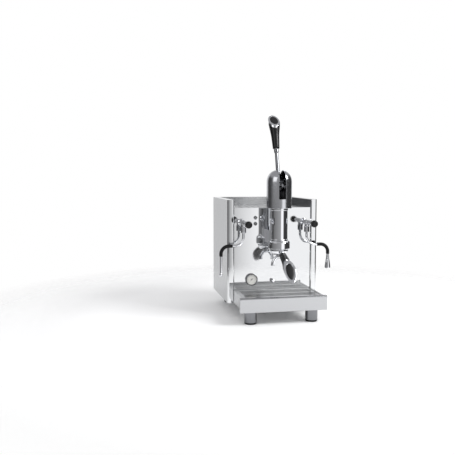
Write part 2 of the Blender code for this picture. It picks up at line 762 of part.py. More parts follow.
def main_spring(low, high):
    """Coil spring round the piston rod, from the piston up to the housing's cap."""
    wire, turns, steps_per_turn = 2.4 * MM, 6, 10
    radius = BORE_RADIUS - wire - 1.5 * MM
    count = turns * steps_per_turn
    points = []
    for index in range(count + 1):
        angle = 2 * math.pi * index / steps_per_turn
        height = low + wire + (high - low - 2 * wire) * index / count
        points.append((radius * math.cos(angle), GROUP_Y + radius * math.sin(angle), height))
    add_object("main_spring", swept(points, wire, 5), "spring_steel")


def piston():
    """Piston with its rod and the eye for the lever's pin. A seal ring sits in its groove."""
    centre = (0, GROUP_Y, 0)
    low, high = PISTON_BOTTOM_Z, PISTON_BOTTOM_Z + PISTON_HEIGHT
    groove, groove_height = 2.5 * MM, 4 * MM
    start = low + 4 * MM
    profile = [
        (0, low),
        (PISTON_RADIUS, low),
        (PISTON_RADIUS, start),
        (PISTON_RADIUS - groove, start),
        (PISTON_RADIUS - groove, start + groove_height),
        (PISTON_RADIUS, start + groove_height),
    ]
    eye_radius = PIN_RADIUS + 5 * MM
    rod_top = LEVER_PIN_Z - 2 * MM
    profile += [(PISTON_RADIUS, high), (ROD_RADIUS, high), (ROD_RADIUS, rod_top), (0, rod_top)]
    body = add_object("piston", turned(profile, 24, centre), "spring_steel")
    add(body, rod(eye_radius, -EYE_HALF, EYE_HALF, 20, (0, GROUP_Y, LEVER_PIN_Z), "X"))
    cut(body, rod(PIN_RADIUS + GAP, -20 * MM, 20 * MM, SMALL_STEPS, (0, GROUP_Y, LEVER_PIN_Z), "X"))
    ring_low, ring_high = start + GAP, start + groove_height - GAP
    ring = tube(PISTON_RADIUS + 0.05 * MM, PISTON_RADIUS - groove + GAP, ring_low, ring_high, 24, centre)
    add_object("piston_seal", ring, "black_rubber")
    return body


def fork():
    """Two cheeks on a round base. Each cheek has a level slot in which a lever roller runs."""
    centre = (0, GROUP_Y, 0)
    radius = COVER_RADIUS - COVER_WALL - GAP
    base_top = FORK_BASE_Z + FORK_BASE_HEIGHT
    body = add_object("fork", rod(radius, FORK_BASE_Z, base_top, ROUND_STEPS, centre), "spring_steel")
    roller_z = LEVER_PIN_Z + ROLLER_ABOVE
    slot_half = ROLLER_RADIUS + ROLLER_PLAY
    cheek_top = roller_z + slot_half + 5 * MM
    ahead = LEVER_ARM + ROLLER_RADIUS + 2 * MM
    behind = 8 * MM
    for side in (-1, 1):
        x_values = sorted((side * FORK_GAP / 2, side * (FORK_GAP / 2 + FORK_CHEEK)))
        add(
            body,
            block(
                (x_values[0], GROUP_Y - ahead, base_top - 2 * MM), (x_values[1], GROUP_Y + behind, cheek_top)
            ),
        )
    cut(
        body,
        block(
            (-30 * MM, GROUP_Y - LEVER_ARM - ROLLER_RADIUS - 0.8 * MM, roller_z - slot_half),
            (30 * MM, GROUP_Y - ROLLER_AHEAD + ROLLER_RADIUS + 0.8 * MM, roller_z + slot_half),
        ),
        rod(ROD_RADIUS + GAP, FORK_BASE_Z - 5 * MM, base_top + 5 * MM, SMALL_STEPS, centre),
    )
    return body


def cover_profile():
    """Outside of the cover: a straight wall and a full round top."""
    shoulder = COVER_TOP_Z - COVER_RADIUS
    steps, fullness = 6, 2.25
    points = []
    for index in range(steps + 1):
        angle = math.pi / 2 * index / steps
        radius = COVER_RADIUS * math.cos(angle) ** (2 / fullness)
        height = shoulder + COVER_RADIUS * math.sin(angle) ** (2 / fullness)
        points.append((0 if index == steps else radius, height))
    return points


def fork_cover():
    """Domed shell over the fork, with a slot for the lever from its front over the top to the back."""
    centre = (0, GROUP_Y, 0)
    low = FORK_BASE_Z
    outside = cover_profile()
    shrink = (COVER_RADIUS - COVER_WALL) / COVER_RADIUS
    shoulder = COVER_TOP_Z - COVER_RADIUS
    inside = [(radius * shrink, shoulder + (height - shoulder) * shrink) for radius, height in outside]
    profile = [(outside[-1][0], outside[-1][1])] + outside[-2::-1] + [(COVER_RADIUS, low)]
    profile += [(COVER_RADIUS - COVER_WALL, low)] + inside
    cover = add_object("fork_cover", turned(profile, ROUND_STEPS, centre), "polished_steel")
    half = COVER_SLOT_WIDTH / 2
    pivot = Vector((0, GROUP_Y, LEVER_PIN_Z))
    back_reach = math.tan(math.radians(LEVER_LEAN_DEG)) * (COVER_TOP_Z - pivot.z) + 12 * MM
    cut(
        cover,
        block(
            (-half, GROUP_Y - COVER_RADIUS - 5 * MM, COVER_SLOT_BOTTOM_Z),
            (half, GROUP_Y, COVER_TOP_Z + 5 * MM),
        ),
        block(
            (-half, GROUP_Y - 5 * MM, COVER_TOP_Z - COVER_RADIUS),
            (half, GROUP_Y + back_reach, COVER_TOP_Z + 5 * MM),
        ),
    )
    return cover


def lever():
    """Lever on the piston rod's pin: head, roller shaft, rod and grip, leaning back at rest."""
    pin = Vector((0, GROUP_Y, LEVER_PIN_Z))
    lean = math.radians(LEVER_LEAN_DEG)
    along = Vector((0, math.sin(lean), math.cos(lean)))
    roller = pin + Vector((0, -ROLLER_AHEAD, ROLLER_ABOVE))
    frame = on_axis_frame(pin, along, (0, -1, 0))
    lever_head(pin, roller, along, frame)
    lever_rod(frame)
    root = pin + along * (HEAD_LENGTH + LEVER_ROD_LENGTH)
    handle("lever", on_axis_frame(root, along, (0, -1, 0)), LEVER_GRIP_LENGTH, LEVER_GRIP_SLANT_DEG)


def lever_head(pin, roller, along, frame):
    """Two cheeks either side of the piston rod's eye, with the pin pressed into them, and a socket."""
    pin_boss, roller_boss = PIN_RADIUS + 4.5 * MM, PIN_RADIUS + 3.5 * MM
    inner = EYE_HALF + 0.6 * MM
    socket_start = 22 * MM
    root = pin + along * (socket_start + 4 * MM)
    circles = [(pin, pin_boss), (roller, roller_boss), (root, roller_boss)]
    parts = [cheek(circles, *sorted((side * inner, side * HEAD_HALF))) for side in (-1, 1)]
    socket = rod(SOCKET_RADIUS, socket_start, HEAD_LENGTH, 24)
    bmesh.ops.transform(socket, matrix=frame, verts=socket.verts)
    parts.append(rod(PIN_RADIUS, -HEAD_HALF + 1 * MM, HEAD_HALF - 1 * MM, 20, pin, "X"))
    head = add_object("lever_head", socket, "chrome")
    add(head, *parts)
    hollow = rod(ROD_SPIGOT_RADIUS + GAP, SPIGOT_START - GAP, HEAD_LENGTH + 5 * MM)
    bmesh.ops.transform(hollow, matrix=frame, verts=hollow.verts)
    cut(head, hollow, rod(PIN_RADIUS + GAP, -20 * MM, 20 * MM, SMALL_STEPS, roller, "X"))
    roller_inner, roller_outer = FORK_GAP / 2 + 0.5 * MM, FORK_GAP / 2 + FORK_CHEEK - 0.5 * MM
    profile = [
        (0, -roller_outer),
        (ROLLER_RADIUS, -roller_outer),
        (ROLLER_RADIUS, -roller_inner),
        (PIN_RADIUS, -roller_inner),
        (PIN_RADIUS, roller_inner),
        (ROLLER_RADIUS, roller_inner),
        (ROLLER_RADIUS, roller_outer),
        (0, roller_outer),
    ]
    add_object("roller_shaft", turned(profile, 20, roller, "X"), "spring_steel")
    return head


def lever_rod(frame):
    """Tapered rod screwed into the head, with a collar under the grip and a spigot up into it."""
    shoulder = HEAD_LENGTH + GAP
    end = HEAD_LENGTH + LEVER_ROD_LENGTH - GAP
    collar, collar_radius = 14 * MM, 8 * MM
    profile = [
        (0, SPIGOT_START),
        (ROD_SPIGOT_RADIUS, SPIGOT_START),
        (ROD_SPIGOT_RADIUS, shoulder),
        (ROD_LOW_RADIUS, shoulder),
        (ROD_LOW_RADIUS, shoulder + 3 * MM),
        (ROD_TOP_RADIUS, end - collar - 1 * MM),
        (collar_radius, end - collar + 1 * MM),
        (collar_radius, end),
        (ROD_SPIGOT_RADIUS, end),
        (ROD_SPIGOT_RADIUS, end + GRIP_SOCKET - 1 * MM),
        (0, end + GRIP_SOCKET - 1 * MM),
    ]
    shape = turned(profile, 20)
    bmesh.ops.transform(shape, matrix=frame, verts=shape.verts)
    return add_object("lever_rod", shape, "chrome")


def cheek(circles, x_low, x_high):
    """A flat plate whose outline wraps round circles, each given as its middle and its radius."""
    shape = bmesh.new()
    for middle, radius in circles:
        for step in range(SMALL_STEPS):
            angle = 2 * math.pi * step / SMALL_STEPS
            y_place = middle.y + radius * math.cos(angle)
            z_place = middle.z + radius * math.sin(angle)
            shape.verts.new((x_low, y_place, z_place))
            shape.verts.new((x_high, y_place, z_place))
    hull = bmesh.ops.convex_hull(shape, input=shape.verts)
    spare = [item for item in hull["geom_interior"] if isinstance(item, bmesh.types.BMVert)]
    bmesh.ops.delete(shape, geom=spare, context="VERTS")
    return shape


def handle(prefix, matrix, length, slant_deg):
    """Grip and metal end cap, both cut on one slant that faces the matrix's +Y."""
    slant = math.radians(slant_deg)
    end = length + GRIP_END_RADIUS / math.tan(slant) + 10 * MM
    profile = [
        (0, 0),
        (GRIP_ROOT_RADIUS - 1 * MM, 0),
        (GRIP_ROOT_RADIUS, 1.5 * MM),
        (GRIP_MIDDLE_RADIUS, length * 0.5),
        (GRIP_END_RADIUS - 1.5 * MM, length * 0.78),
        (GRIP_END_RADIUS, length * 0.95),
        (GRIP_END_RADIUS, end),
        (0, end),
    ]
    # The slanting face's normal leans from the handle's axis towards its top.
    normal = Vector((0, math.cos(slant), math.sin(slant)))
    turn = Vector((0, 0, 1)).rotation_difference(normal).to_matrix().to_4x4()
    slanting_end = matrix @ Matrix.Translation((0, 0, length)) @ turn

    def half_space(offset, thickness):
        size = 200 * MM
        shape = block((-size, -size, offset), (size, size, offset + thickness))
        bmesh.ops.transform(shape, matrix=slanting_end, verts=shape.verts)
        return shape

    def blank():
        shape = turned(profile, 20)
        bmesh.ops.transform(shape, matrix=matrix, verts=shape.verts)
        return shape

    grip = add_object(prefix + "_grip", blank(), "black_plastic")
    cut(grip, half_space(-GRIP_CAP_THICKNESS - GAP, 300 * MM))
    socket = rod(ROD_SPIGOT_RADIUS + GAP, -5 * MM, GRIP_SOCKET, SMALL_STEPS)
    bmesh.ops.transform(socket, matrix=matrix, verts=socket.verts)
    cut(grip, socket)
    cap = add_object(prefix + "_cap", blank(), "chrome")
    cut(cap, half_space(0, 300 * MM), half_space(-GRIP_CAP_THICKNESS - 300 * MM, 300 * MM))
    # An oval recess in the cap, its size a share of the slanting end.
    share, depth = 0.74, 1.2 * MM
    recess = rod(GRIP_END_RADIUS * share, -depth, 10 * MM, 20)
    stretch = Matrix.Diagonal((1.0, 1.0 / math.sin(slant), 1.0, 1.0))
    bmesh.ops.transform(recess, matrix=slanting_end @ stretch, verts=recess.verts)
    cut(cap, recess)


# ---------------------------------------------------------------- filter holder


def filter_holder():
    """Brass bowl with two ears, its basket, double spout and handle."""
    centre = Vector((0, GROUP_Y, 0))
    droop = math.radians(HOLDER_DROOP_DEG)
    ahead = Vector((0, -1, 0))
    along = Vector((0, -math.cos(droop), -math.sin(droop)))
    bore = BASKET_RADIUS + 1 * MM
    floor = HOLDER_BOTTOM_Z + 4 * MM
    spout_bore = 4 * MM
    profile = [
        (spout_bore, HOLDER_BOTTOM_Z),
        (HOLDER_RADIUS - 6 * MM, HOLDER_BOTTOM_Z),
        (HOLDER_RADIUS - 2 * MM, HOLDER_BOTTOM_Z + 5 * MM),
        (HOLDER_RADIUS, HOLDER_BOTTOM_Z + 14 * MM),
        (HOLDER_RADIUS, HOLDER_TOP_Z),
        (bore, HOLDER_TOP_Z),
        (bore, floor),
        (spout_bore, floor),
    ]
    bowl = add_object("portafilter_body", turned(profile, ROUND_STEPS, centre), "chrome")
    ear_low = BELL_BOTTOM_Z + BAYONET_LIP + GAP
    for side_deg in (0, 180):
        ear = [
            (HOLDER_RADIUS - 2 * MM, ear_low),
            (HOLDER_RADIUS + EAR_REACH, ear_low),
            (HOLDER_RADIUS + EAR_REACH, ear_low + 4 * MM),
            (HOLDER_RADIUS - 2 * MM, ear_low + 4 * MM),
        ]
        start = side_deg - EAR_DEG / 2
        add(bowl, turned(ear, 5, centre, "Z", EAR_DEG, start))
    neck_root = centre + ahead * HOLDER_NECK_START + Vector((0, 0, HOLDER_NECK_Z))
    matrix = on_axis_frame(neck_root, along, (0, 0, 1))
    reach_in = HOLDER_NECK_START - HOLDER_RADIUS + 3 * MM
    neck = [
        (0, -reach_in),
        (7 * MM, -reach_in),
        (9 * MM, -4 * MM),
        (9 * MM, -GAP),
        (ROD_SPIGOT_RADIUS, -GAP),
        (ROD_SPIGOT_RADIUS, GRIP_SOCKET - 1 * MM),
        (0, GRIP_SOCKET - 1 * MM),
    ]
    stub = turned(neck, 20)
    bmesh.ops.transform(stub, matrix=matrix, verts=stub.verts)
    add(bowl, stub)
    handle("portafilter", matrix, HOLDER_GRIP_LENGTH, HOLDER_GRIP_SLANT_DEG)
    basket_low = floor + 5 * MM
    wall = 1 * MM
    brim = HOLDER_RADIUS - 0.5 * MM
    brim_low = HOLDER_TOP_Z + GAP
    basket = [
        (0, basket_low),
        (BASKET_RADIUS - 2 * MM, basket_low),
        (BASKET_RADIUS, brim_low),
        (brim, brim_low),
        (brim, brim_low + wall * 0.8),
        (BASKET_RADIUS - wall, brim_low + wall * 0.8),
        (BASKET_RADIUS - 2 * MM - wall, basket_low + wall),
        (0, basket_low + wall),
    ]
    add_object("filter_basket", turned(basket, 24, centre), "brushed_steel")
    holder_spout(centre)


def holder_spout(centre):
    """Double spout: a boss under the bowl and a curved horn to each side."""
    top = HOLDER_BOTTOM_Z - GAP
    across = Vector((1, 0, 0))
    boss_height = 12 * MM
    spout = add_object("portafilter_spout", rod(9 * MM, top - boss_height, top, 20, centre), "chrome")
    horn_out, horn_down, horn_radius, steps = 21 * MM, 30 * MM, 6 * MM, 5
    root = centre + Vector((0, 0, top - boss_height / 2 - 1 * MM))
    for side in (-1, 1):
        points = [root - across * side * 3 * MM]
        for index in range(steps + 1):
            angle = math.pi / 2 * index / steps
            sideways = across * side * horn_out * math.sin(angle)
            points.append(root + sideways - Vector((0, 0, horn_down * (1 - math.cos(angle)))))
        add(spout, swept(points, horn_radius, 10))
    cut(spout, rod(3.5 * MM, top - 9 * MM, top + 5 * MM, 12, centre))
    return spout


# ---------------------------------------------------------------- valves and wands


def valve(name, side):
    """Valve body through the front panel, with a branch down to the wand's nut."""
    x_place = side * VALVE_SPREAD / 2
    centre = (x_place, PANEL_Y, VALVE_Z)
    forward = KNOB_REACH + PANEL_RECESS
    bonnet, spindle_seat = forward * 0.6, forward * 0.8
    flange = VALVE_RADIUS + 4 * MM
    profile = [
        (0, -VALVE_DEPTH),
        (VALVE_RADIUS, -VALVE_DEPTH),
        (VALVE_RADIUS, GAP),
        (flange, GAP),
        (flange, 4 * MM),
        (VALVE_RADIUS, 5 * MM),
        (VALVE_RADIUS, bonnet),
        (VALVE_RADIUS - 2 * MM, bonnet + 1 * MM),
        (VALVE_RADIUS - 2 * MM, spindle_seat),
        (0, spindle_seat),
    ]
    body = add_object(name, turned(profile, 16, centre, "-Y"), "chrome")
    branch_low = NUT_BOTTOM_Z + NUT_HEIGHT + GAP
    add(body, rod(VALVE_RADIUS - 0.5 * MM, branch_low, VALVE_Z, 14, (x_place, WAND_Y, 0)))
    spindle_bore = rod(SPINDLE_RADIUS + GAP, spindle_seat - 14 * MM, spindle_seat + 5 * MM, 12, centre, "-Y")
    branch = (x_place, WAND_Y, 0)
    branch_bore = rod(WAND_RADIUS + 2 * MM, branch_low - 5 * MM, branch_low + 8 * MM, 12, branch)
    cut(body, joined(spindle_bore, branch_bore))
    return spindle_seat


def knob(name, side, spindle_seat):
    """Round knob with its spindle, which turns in the valve's bonnet."""
    centre = (side * VALVE_SPREAD / 2, PANEL_Y, VALVE_Z)
    face = KNOB_REACH + PANEL_RECESS
    back = face - 19 * MM
    radius = KNOB_RADIUS
    profile = [
        (0, spindle_seat - 12 * MM),
        (SPINDLE_RADIUS, spindle_seat - 12 * MM),
        (SPINDLE_RADIUS, back - 3 * MM),
        (6 * MM, back),
        (radius * 0.85, back + 2 * MM),
        (radius, back + 6 * MM),
        (radius, face - 6 * MM),
        (radius * 0.86, face - 2 * MM),
        (radius * 0.6, face),
        (0, face),
    ]
    return add_object(name, turned(profile, 16, centre, "-Y"), "black_plastic")


def wand_nut(name, side):
    """Nut under the valve's branch that holds the wand's ball end."""
    low, high = NUT_BOTTOM_Z, NUT_BOTTOM_Z + NUT_HEIGHT
    bore = WAND_BALL_RADIUS + 0.5 * MM
    throat = WAND_RADIUS + 1 * MM
    edge = 1 * MM
    profile = [
        (throat, low),
        (NUT_RADIUS - edge, low),
        (NUT_RADIUS, low + edge),
        (NUT_RADIUS, high),
        (bore, high),
        (bore, low + 4 * MM),
        (throat, low + 2.5 * MM),
    ]
    return add_object(name, turned(profile, 12, (side * VALVE_SPREAD / 2, WAND_Y, 0)), "chrome")


def wand_path(side, end_z):
    """The wand's middle line from its ball down, out to the side and down again, and its grip's share."""
    x_start = side * VALVE_SPREAD / 2
    x_end = x_start + side * WAND_REACH
    start = Vector((x_start, WAND_Y, WAND_BALL_Z))
    first = Vector((x_start, WAND_Y, WAND_LEVEL_Z))
    second = Vector((x_end, WAND_Y, WAND_LEVEL_Z))
    end = Vector((x_end, WAND_Y, end_z))
    inner_bend = corner_arc(start, first, second, WAND_BEND, 6)
    outer_bend = corner_arc(first, second, end, WAND_BEND * 0.9, 6)
    grip_start = outer_bend[0] - Vector((side * WAND_GRIP_RUN, 0, 0))
    grip_end = outer_bend[-1] - Vector((0, 0, WAND_GRIP_RUN_DOWN))
    grip_path = [grip_start] + outer_bend + [grip_end]
    return [start] + inner_bend + grip_path + [end], grip_path


def wand(prefix, side, tip_bottom):
    """Bent tube with a ball end in its nut, a rubber grip on its outer bend and a nozzle or a tip."""
    steam = prefix == "steam"
    end_z = tip_bottom + (STEAM_TIP_HEIGHT - STEAM_TIP_HOLD if steam else WATER_NOZZLE_HEIGHT / 2)
    points, grip_path = wand_path(side, end_z)
    body = add_object(prefix + "_wand", swept(points, WAND_RADIUS, 10), "chrome")
    top, end = points[0], points[-1]
    steps = 8
    ball = [
        (WAND_BALL_RADIUS * math.sin(math.pi * k / steps), -WAND_BALL_RADIUS * math.cos(math.pi * k / steps))
        for k in range(1, steps)
    ]
    ball = [(0, -WAND_BALL_RADIUS)] + ball + [(0, WAND_BALL_RADIUS)]
    add(body, turned(ball, SMALL_STEPS, top))
    wand_grip(prefix, grip_path)
    if steam:
        steam_tip(end, tip_bottom)
    else:
        radius, edge = WATER_NOZZLE_RADIUS, 2 * MM
        low, high = tip_bottom, tip_bottom + WATER_NOZZLE_HEIGHT
        profile = [(0, low), (radius - edge, low), (radius, low + edge), (radius, high - edge)]
        profile += [(radius - edge, high), (0, high)]
        add(body, turned(profile, SMALL_STEPS, (end.x, end.y, 0)))
        cut(body, rod(2.5 * MM, low - 5 * MM, low + 6 * MM, 10, (end.x, end.y, 0)))
    return body


def wand_grip(prefix, path):
    """Rubber sleeve round the wand's outer bend."""
    sides = 12
    shape = bmesh.new()
    sections = []
    for index, point in enumerate(path):
        before, after = path[max(index - 1, 0)], path[min(index + 1, len(path) - 1)]
        frame = on_axis_frame(point, after - before, (0, 1, 0))
        rings = []
        for radius in (WAND_RADIUS + GAP, WAND_GRIP_RADIUS):
            rings.append(
                [
                    shape.verts.new(frame @ Vector((radius * math.cos(a), radius * math.sin(a), 0)))
                    for a in (2 * math.pi * k / sides for k in range(sides))
                ]
            )
        sections.append(rings)
    for first, second in zip(sections, sections[1:]):
        for layer in range(2):
            for index in range(sides):
                after = (index + 1) % sides
                shape.faces.new(
                    (first[layer][index], first[layer][after], second[layer][after], second[layer][index])
                )
    for inner, outer in (sections[0], sections[-1]):
        for index in range(sides):
            after = (index + 1) % sides
            shape.faces.new((inner[index], inner[after], outer[after], outer[index]))
    return add_object(prefix + "_wand_grip", shape, "black_rubber")


def steam_tip(end, bottom):
    """The steam wand's flared frothing tip."""
    top = bottom + STEAM_TIP_HEIGHT
    hold = WAND_RADIUS + GAP
    seat = end.z - GAP
    profile = [
        (0, bottom),
        (9.4 * MM, bottom),
        (10 * MM, bottom + 1 * MM),
        (9.6 * MM, bottom + 12 * MM),
        (7.6 * MM, bottom + 26 * MM),
        (hold + 1.1 * MM, top - 12 * MM),
        (hold + 0.7 * MM, top),
        (hold, top),
        (hold, seat),
        (0, seat),
    ]
    tip = add_object("steam_tip", turned(profile, 20, (end.x, end.y, 0)), "chrome")
    cut(tip, rod(1.5 * MM, bottom - 5 * MM, bottom + 4 * MM, 8, (end.x, end.y, 0)))
    return tip


# ---------------------------------------------------------------- gauge, lamps and switch


def gauge():
    """Round pressure gauge: case with bezel, dial, needle and glass."""
    centre = (GAUGE_X, PANEL_Y, GAUGE_Z)
    outer = GAUGE_RADIUS
    opening = outer - 3 * MM
    drum = outer - 3 * MM - GAP
    reach = 10 * MM
    profile = [
        (0, -24 * MM),
        (drum, -24 * MM),
        (drum, GAP),
        (outer, GAP),
        (outer, reach - 1.5 * MM),
        (outer - 1 * MM, reach),
        (opening, reach),
        (opening, 3 * MM),
        (0, 3 * MM),
    ]
    add_object("gauge_case", turned(profile, 24, centre, "-Y"), "chrome")
    dial_top = 3 * MM + GAP + 0.8 * MM
    dial_face = opening - GAP
    add_object("gauge_dial", rod(dial_face, 3 * MM + GAP, dial_top, 24, centre, "-Y"), "dial_white")
    glass = rod(dial_face, reach - 3 * MM, reach - 1.5 * MM, 24, centre, "-Y")
    add_object("gauge_glass", glass, "clear_plastic")
    low, high = dial_top + GAP, dial_top + GAP + 0.8 * MM
    needle = add_object("gauge_needle", rod(2.2 * MM, low, high, 12, centre, "-Y"), "black_plastic")
    length, tail, width = opening - 5 * MM, 5 * MM, 1.2 * MM
    pointer = block((-width / 2, -tail, low), (width / 2, length, high))
    swing = Matrix.Rotation(math.radians(GAUGE_REST_DEG), 4, "Z")
    bmesh.ops.transform(pointer, matrix=swing, verts=pointer.verts)
    add(needle, placed(pointer, centre, "-Y"))


def lamps():
    """Two pilot lamps, one above the other, each with a bezel on the panel and a domed lens."""
    radius = LAMP_RADIUS
    barrel = radius * 0.7
    profile = [
        (0, -14 * MM),
        (barrel, -14 * MM),
        (barrel, GAP),
        (radius, GAP),
        (radius, 1.5 * MM),
        (radius - 1 * MM, 2.5 * MM),
        (barrel - 1 * MM, 2.5 * MM),
        (barrel - 2 * MM, 4 * MM),
        (0, 4.6 * MM),
    ]
    for row, name in enumerate(("lamp_lower", "lamp_upper")):
        add_object(name, turned(profile, 20, (LAMP_X, PANEL_Y, LAMP_Z + row * LAMP_PITCH), "-Y"), "lamp_lens")


def power_button():
    """Push switch: a metal cap that travels through the panel."""
    radius, reach = BUTTON_RADIUS, BUTTON_REACH
    behind, edge, crown = 12 * MM, 1.5 * MM, 0.3 * MM
    profile = [(0, -behind), (radius, -behind), (radius, reach - edge)]
    profile += [(radius - edge, reach), (0, reach + crown)]
    return add_object("power_button", turned(profile, 24, (0, PANEL_Y, BUTTON_Z), "-Y"), "chrome")


# ---------------------------------------------------------------- inside


def boiler():
    """Hollow copper boiler lying across the machine, with a pipe brazed on for each valve."""
    half = BOILER_LENGTH / 2
    radius, wall, dome = BOILER_RADIUS, BOILER_WALL, 10 * MM
    port = ELEMENT_PORT_RADIUS
    profile = [
        (0, -half),
        (radius * 0.6, -half),
        (radius, -half + dome),
        (radius, half - dome),
        (radius * 0.6, half),
        (port, half),
        (port, half - wall),
        (radius * 0.6, half - wall),
        (radius - wall, half - dome),
        (radius - wall, -half + dome),
        (radius * 0.6, -half + wall),
        (0, -half + wall),
    ]
    body = add_object("boiler", turned(profile, 24, (0, BOILER_Y, BOILER_Z), "X"), "copper")
    for side in (-1, 1):
        add(body, boiler_pipe(side))
    pipe_place = (0, PANEL_Y, NECK_MIDDLE_Z)
    cut(body, rod(NECK_PIPE_RADIUS + GAP, -5 * MM, NECK_PIPE_LENGTH + GAP, 24, pipe_place, "Y"))
    return body


def boiler_pipe(side):
    """Pipe up from the boiler's top, out to the side and forward to a valve."""
    x_valve = side * VALVE_SPREAD / 2
    x_boiler = side * (BOILER_LENGTH / 2 - 30 * MM)
    over_z = VALVE_Z + 14 * MM
    corners = [
        Vector((x_boiler, BOILER_Y, BOILER_Z + BOILER_RADIUS - BOILER_WALL / 2)),
        Vector((x_boiler, BOILER_Y, over_z)),
        Vector((x_valve, BOILER_Y - 15 * MM, over_z)),
        Vector((x_valve, BOILER_Y - 15 * MM, VALVE_Z)),
        Vector((x_valve, PANEL_Y + VALVE_DEPTH + GAP, VALVE_Z)),
    ]
    points = [corners[0]]
    for before, corner, after in zip(corners, corners[1:], corners[2:]):
        points += corner_arc(before, corner, after, 6 * MM, 3)
    return swept(points + [corners[-1]], PIPE_RADIUS, 6)


def heating_element():
    """Element in the boiler's open end: a flange outside and a hairpin of tube inside."""
    face = BOILER_LENGTH / 2 + GAP
    flange, rod_radius, half_bow = ELEMENT_PORT_RADIUS + 6 * MM, 3.5 * MM, 9 * MM
    place = (0, BOILER_Y, BOILER_Z)
    element = add_object("heating_element", rod(flange, face, face + 5 * MM, 20, place, "X"), "spring_steel")
    inner = BOILER_LENGTH / 2 - 60 * MM
    start = Vector((face + 2 * MM, BOILER_Y - half_bow, BOILER_Z))
    far_front = Vector((-inner, BOILER_Y - half_bow, BOILER_Z))
    far_back = Vector((-inner, BOILER_Y + half_bow, BOILER_Z))
    end = Vector((face + 2 * MM, BOILER_Y + half_bow, BOILER_Z))
    points = [start] + corner_arc(start, far_front, far_back, half_bow * 0.98, 4)
    points += corner_arc(far_front, far_back, end, half_bow * 0.98, 4) + [end]
    add(element, swept(points, rod_radius, 8))
    return element


def water_tank():
    """Open-topped tank behind the boiler, under the cup tray."""
    half = TANK_WIDTH / 2
    front, back = TANK_FRONT_Y, TANK_BACK_Y
    low = FOOT_HEIGHT + SHEET + GAP
    tank = add_object("water_tank", block((-half, front, low), (half, back, TANK_TOP_Z)), "clear_plastic")
    wall = TANK_WALL
    inside_low = (-half + wall, front + wall, low + wall)
    cut(tank, block(inside_low, (half - wall, back - wall, TANK_TOP_Z + 20 * MM)))
    return tank


def pump():
    """Vibration pump on the pan under the boiler: coil body and brass outlet."""
    place = (-60 * MM, PANEL_Y + 75 * MM, FOOT_HEIGHT + SHEET + 24 * MM + GAP)
    profile = [
        (0, -38 * MM),
        (10 * MM, -38 * MM),
        (10 * MM, -22 * MM),
        (24 * MM, -22 * MM),
        (24 * MM, 24 * MM),
        (12 * MM, 24 * MM),
        (12 * MM, 42 * MM),
        (0, 42 * MM),
    ]
    return add_object("pump", turned(profile, 20, place, "X"), "black_plastic")


def mains_inlet():
    """Appliance inlet in the rear panel: a flange outside and a socket with three pins."""
    flange, depth = 2.5 * MM, 22 * MM
    wide, tall = INLET_HALF_WIDTH, INLET_HALF_HEIGHT
    low = (INLET_X - wide, REAR_Y - depth, INLET_Z - tall)
    high = (INLET_X + wide, REAR_Y + GAP + flange, INLET_Z + tall)
    body = add_object("mains_inlet", block(low, high), "black_plastic")
    add(
        body,
        block(
            (INLET_X - wide - 4 * MM, REAR_Y + GAP, INLET_Z - tall - 3 * MM),
            (INLET_X + wide + 4 * MM, REAR_Y + GAP + flange, INLET_Z + tall + 3 * MM),
        ),
    )
    cut(
        body,
        block(
            (INLET_X - wide + 2 * MM, REAR_Y - depth + 4 * MM, INLET_Z - tall + 2 * MM),
            (INLET_X + wide - 2 * MM, REAR_Y + 20 * MM, INLET_Z + tall - 2 * MM),
        ),
    )
    for shift, rise in ((-6, -2), (0, 3), (6, -2)):
        x_place, z_place = INLET_X + shift * MM, INLET_Z + rise * MM
        add(
            body,
            block(
                (x_place - 1 * MM, REAR_Y - depth + 2 * MM, z_place - 2 * MM),
                (x_place + 1 * MM, REAR_Y - 5 * MM, z_place + 2 * MM),
            ),
        )
    return body


# ---------------------------------------------------------------- joints


def hang(name, place, pieces):
    """Puts an empty on a joint's axis and parents the pieces that move there, without moving them."""
    empty = bpy.data.objects.new(name, None)
    empty.location = place
    bpy.context.scene.collection.objects.link(empty)
    for piece in pieces:
        obj = bpy.data.objects[piece]
        obj.parent = empty
        obj.location = -Vector(place)


def hang_moving_pieces():
    """One empty for each joint's axis."""
    lever_pieces = ["lever_head", "roller_shaft", "lever_rod", "lever_grip", "lever_cap"]
    hang("lever_axis", (0, GROUP_Y, LEVER_PIN_Z), lever_pieces)
    hang("piston_axis", (0, GROUP_Y, PISTON_BOTTOM_Z), ["piston", "piston_seal"])
    holder = ["portafilter_body", "filter_basket", "portafilter_spout", "portafilter_grip", "portafilter_cap"]
    hang("portafilter_axis", (0, GROUP_Y, BELL_BOTTOM_Z), holder)
    for prefix, side in (("water", -1), ("steam", 1)):
        x_place = side * VALVE_SPREAD / 2
        hang(prefix + "_knob_axis", (x_place, PANEL_Y, VALVE_Z), [prefix + "_knob"])
        pieces = [prefix + "_wand", prefix + "_wand_grip"] + (["steam_tip"] if prefix == "steam" else [])
        hang(prefix + "_wand_axis", (x_place, WAND_Y, WAND_BALL_Z), pieces)
    hang("gauge_needle_axis", (GAUGE_X, PANEL_Y, GAUGE_Z), ["gauge_needle"])
    hang("power_button_axis", (0, PANEL_Y, BUTTON_Z), ["power_button"])
    tray_pieces = ["drip_tray_basin", "drip_tray_front", "drip_grate"]
    hang("drip_tray_slide", (0, TRAY_FRONT_Y, TRAY_TOP_Z), tray_pieces)
    hang("cup_tray_slide", (0, REAR_Y, CUP_FLOOR_Z), ["cup_tray"])


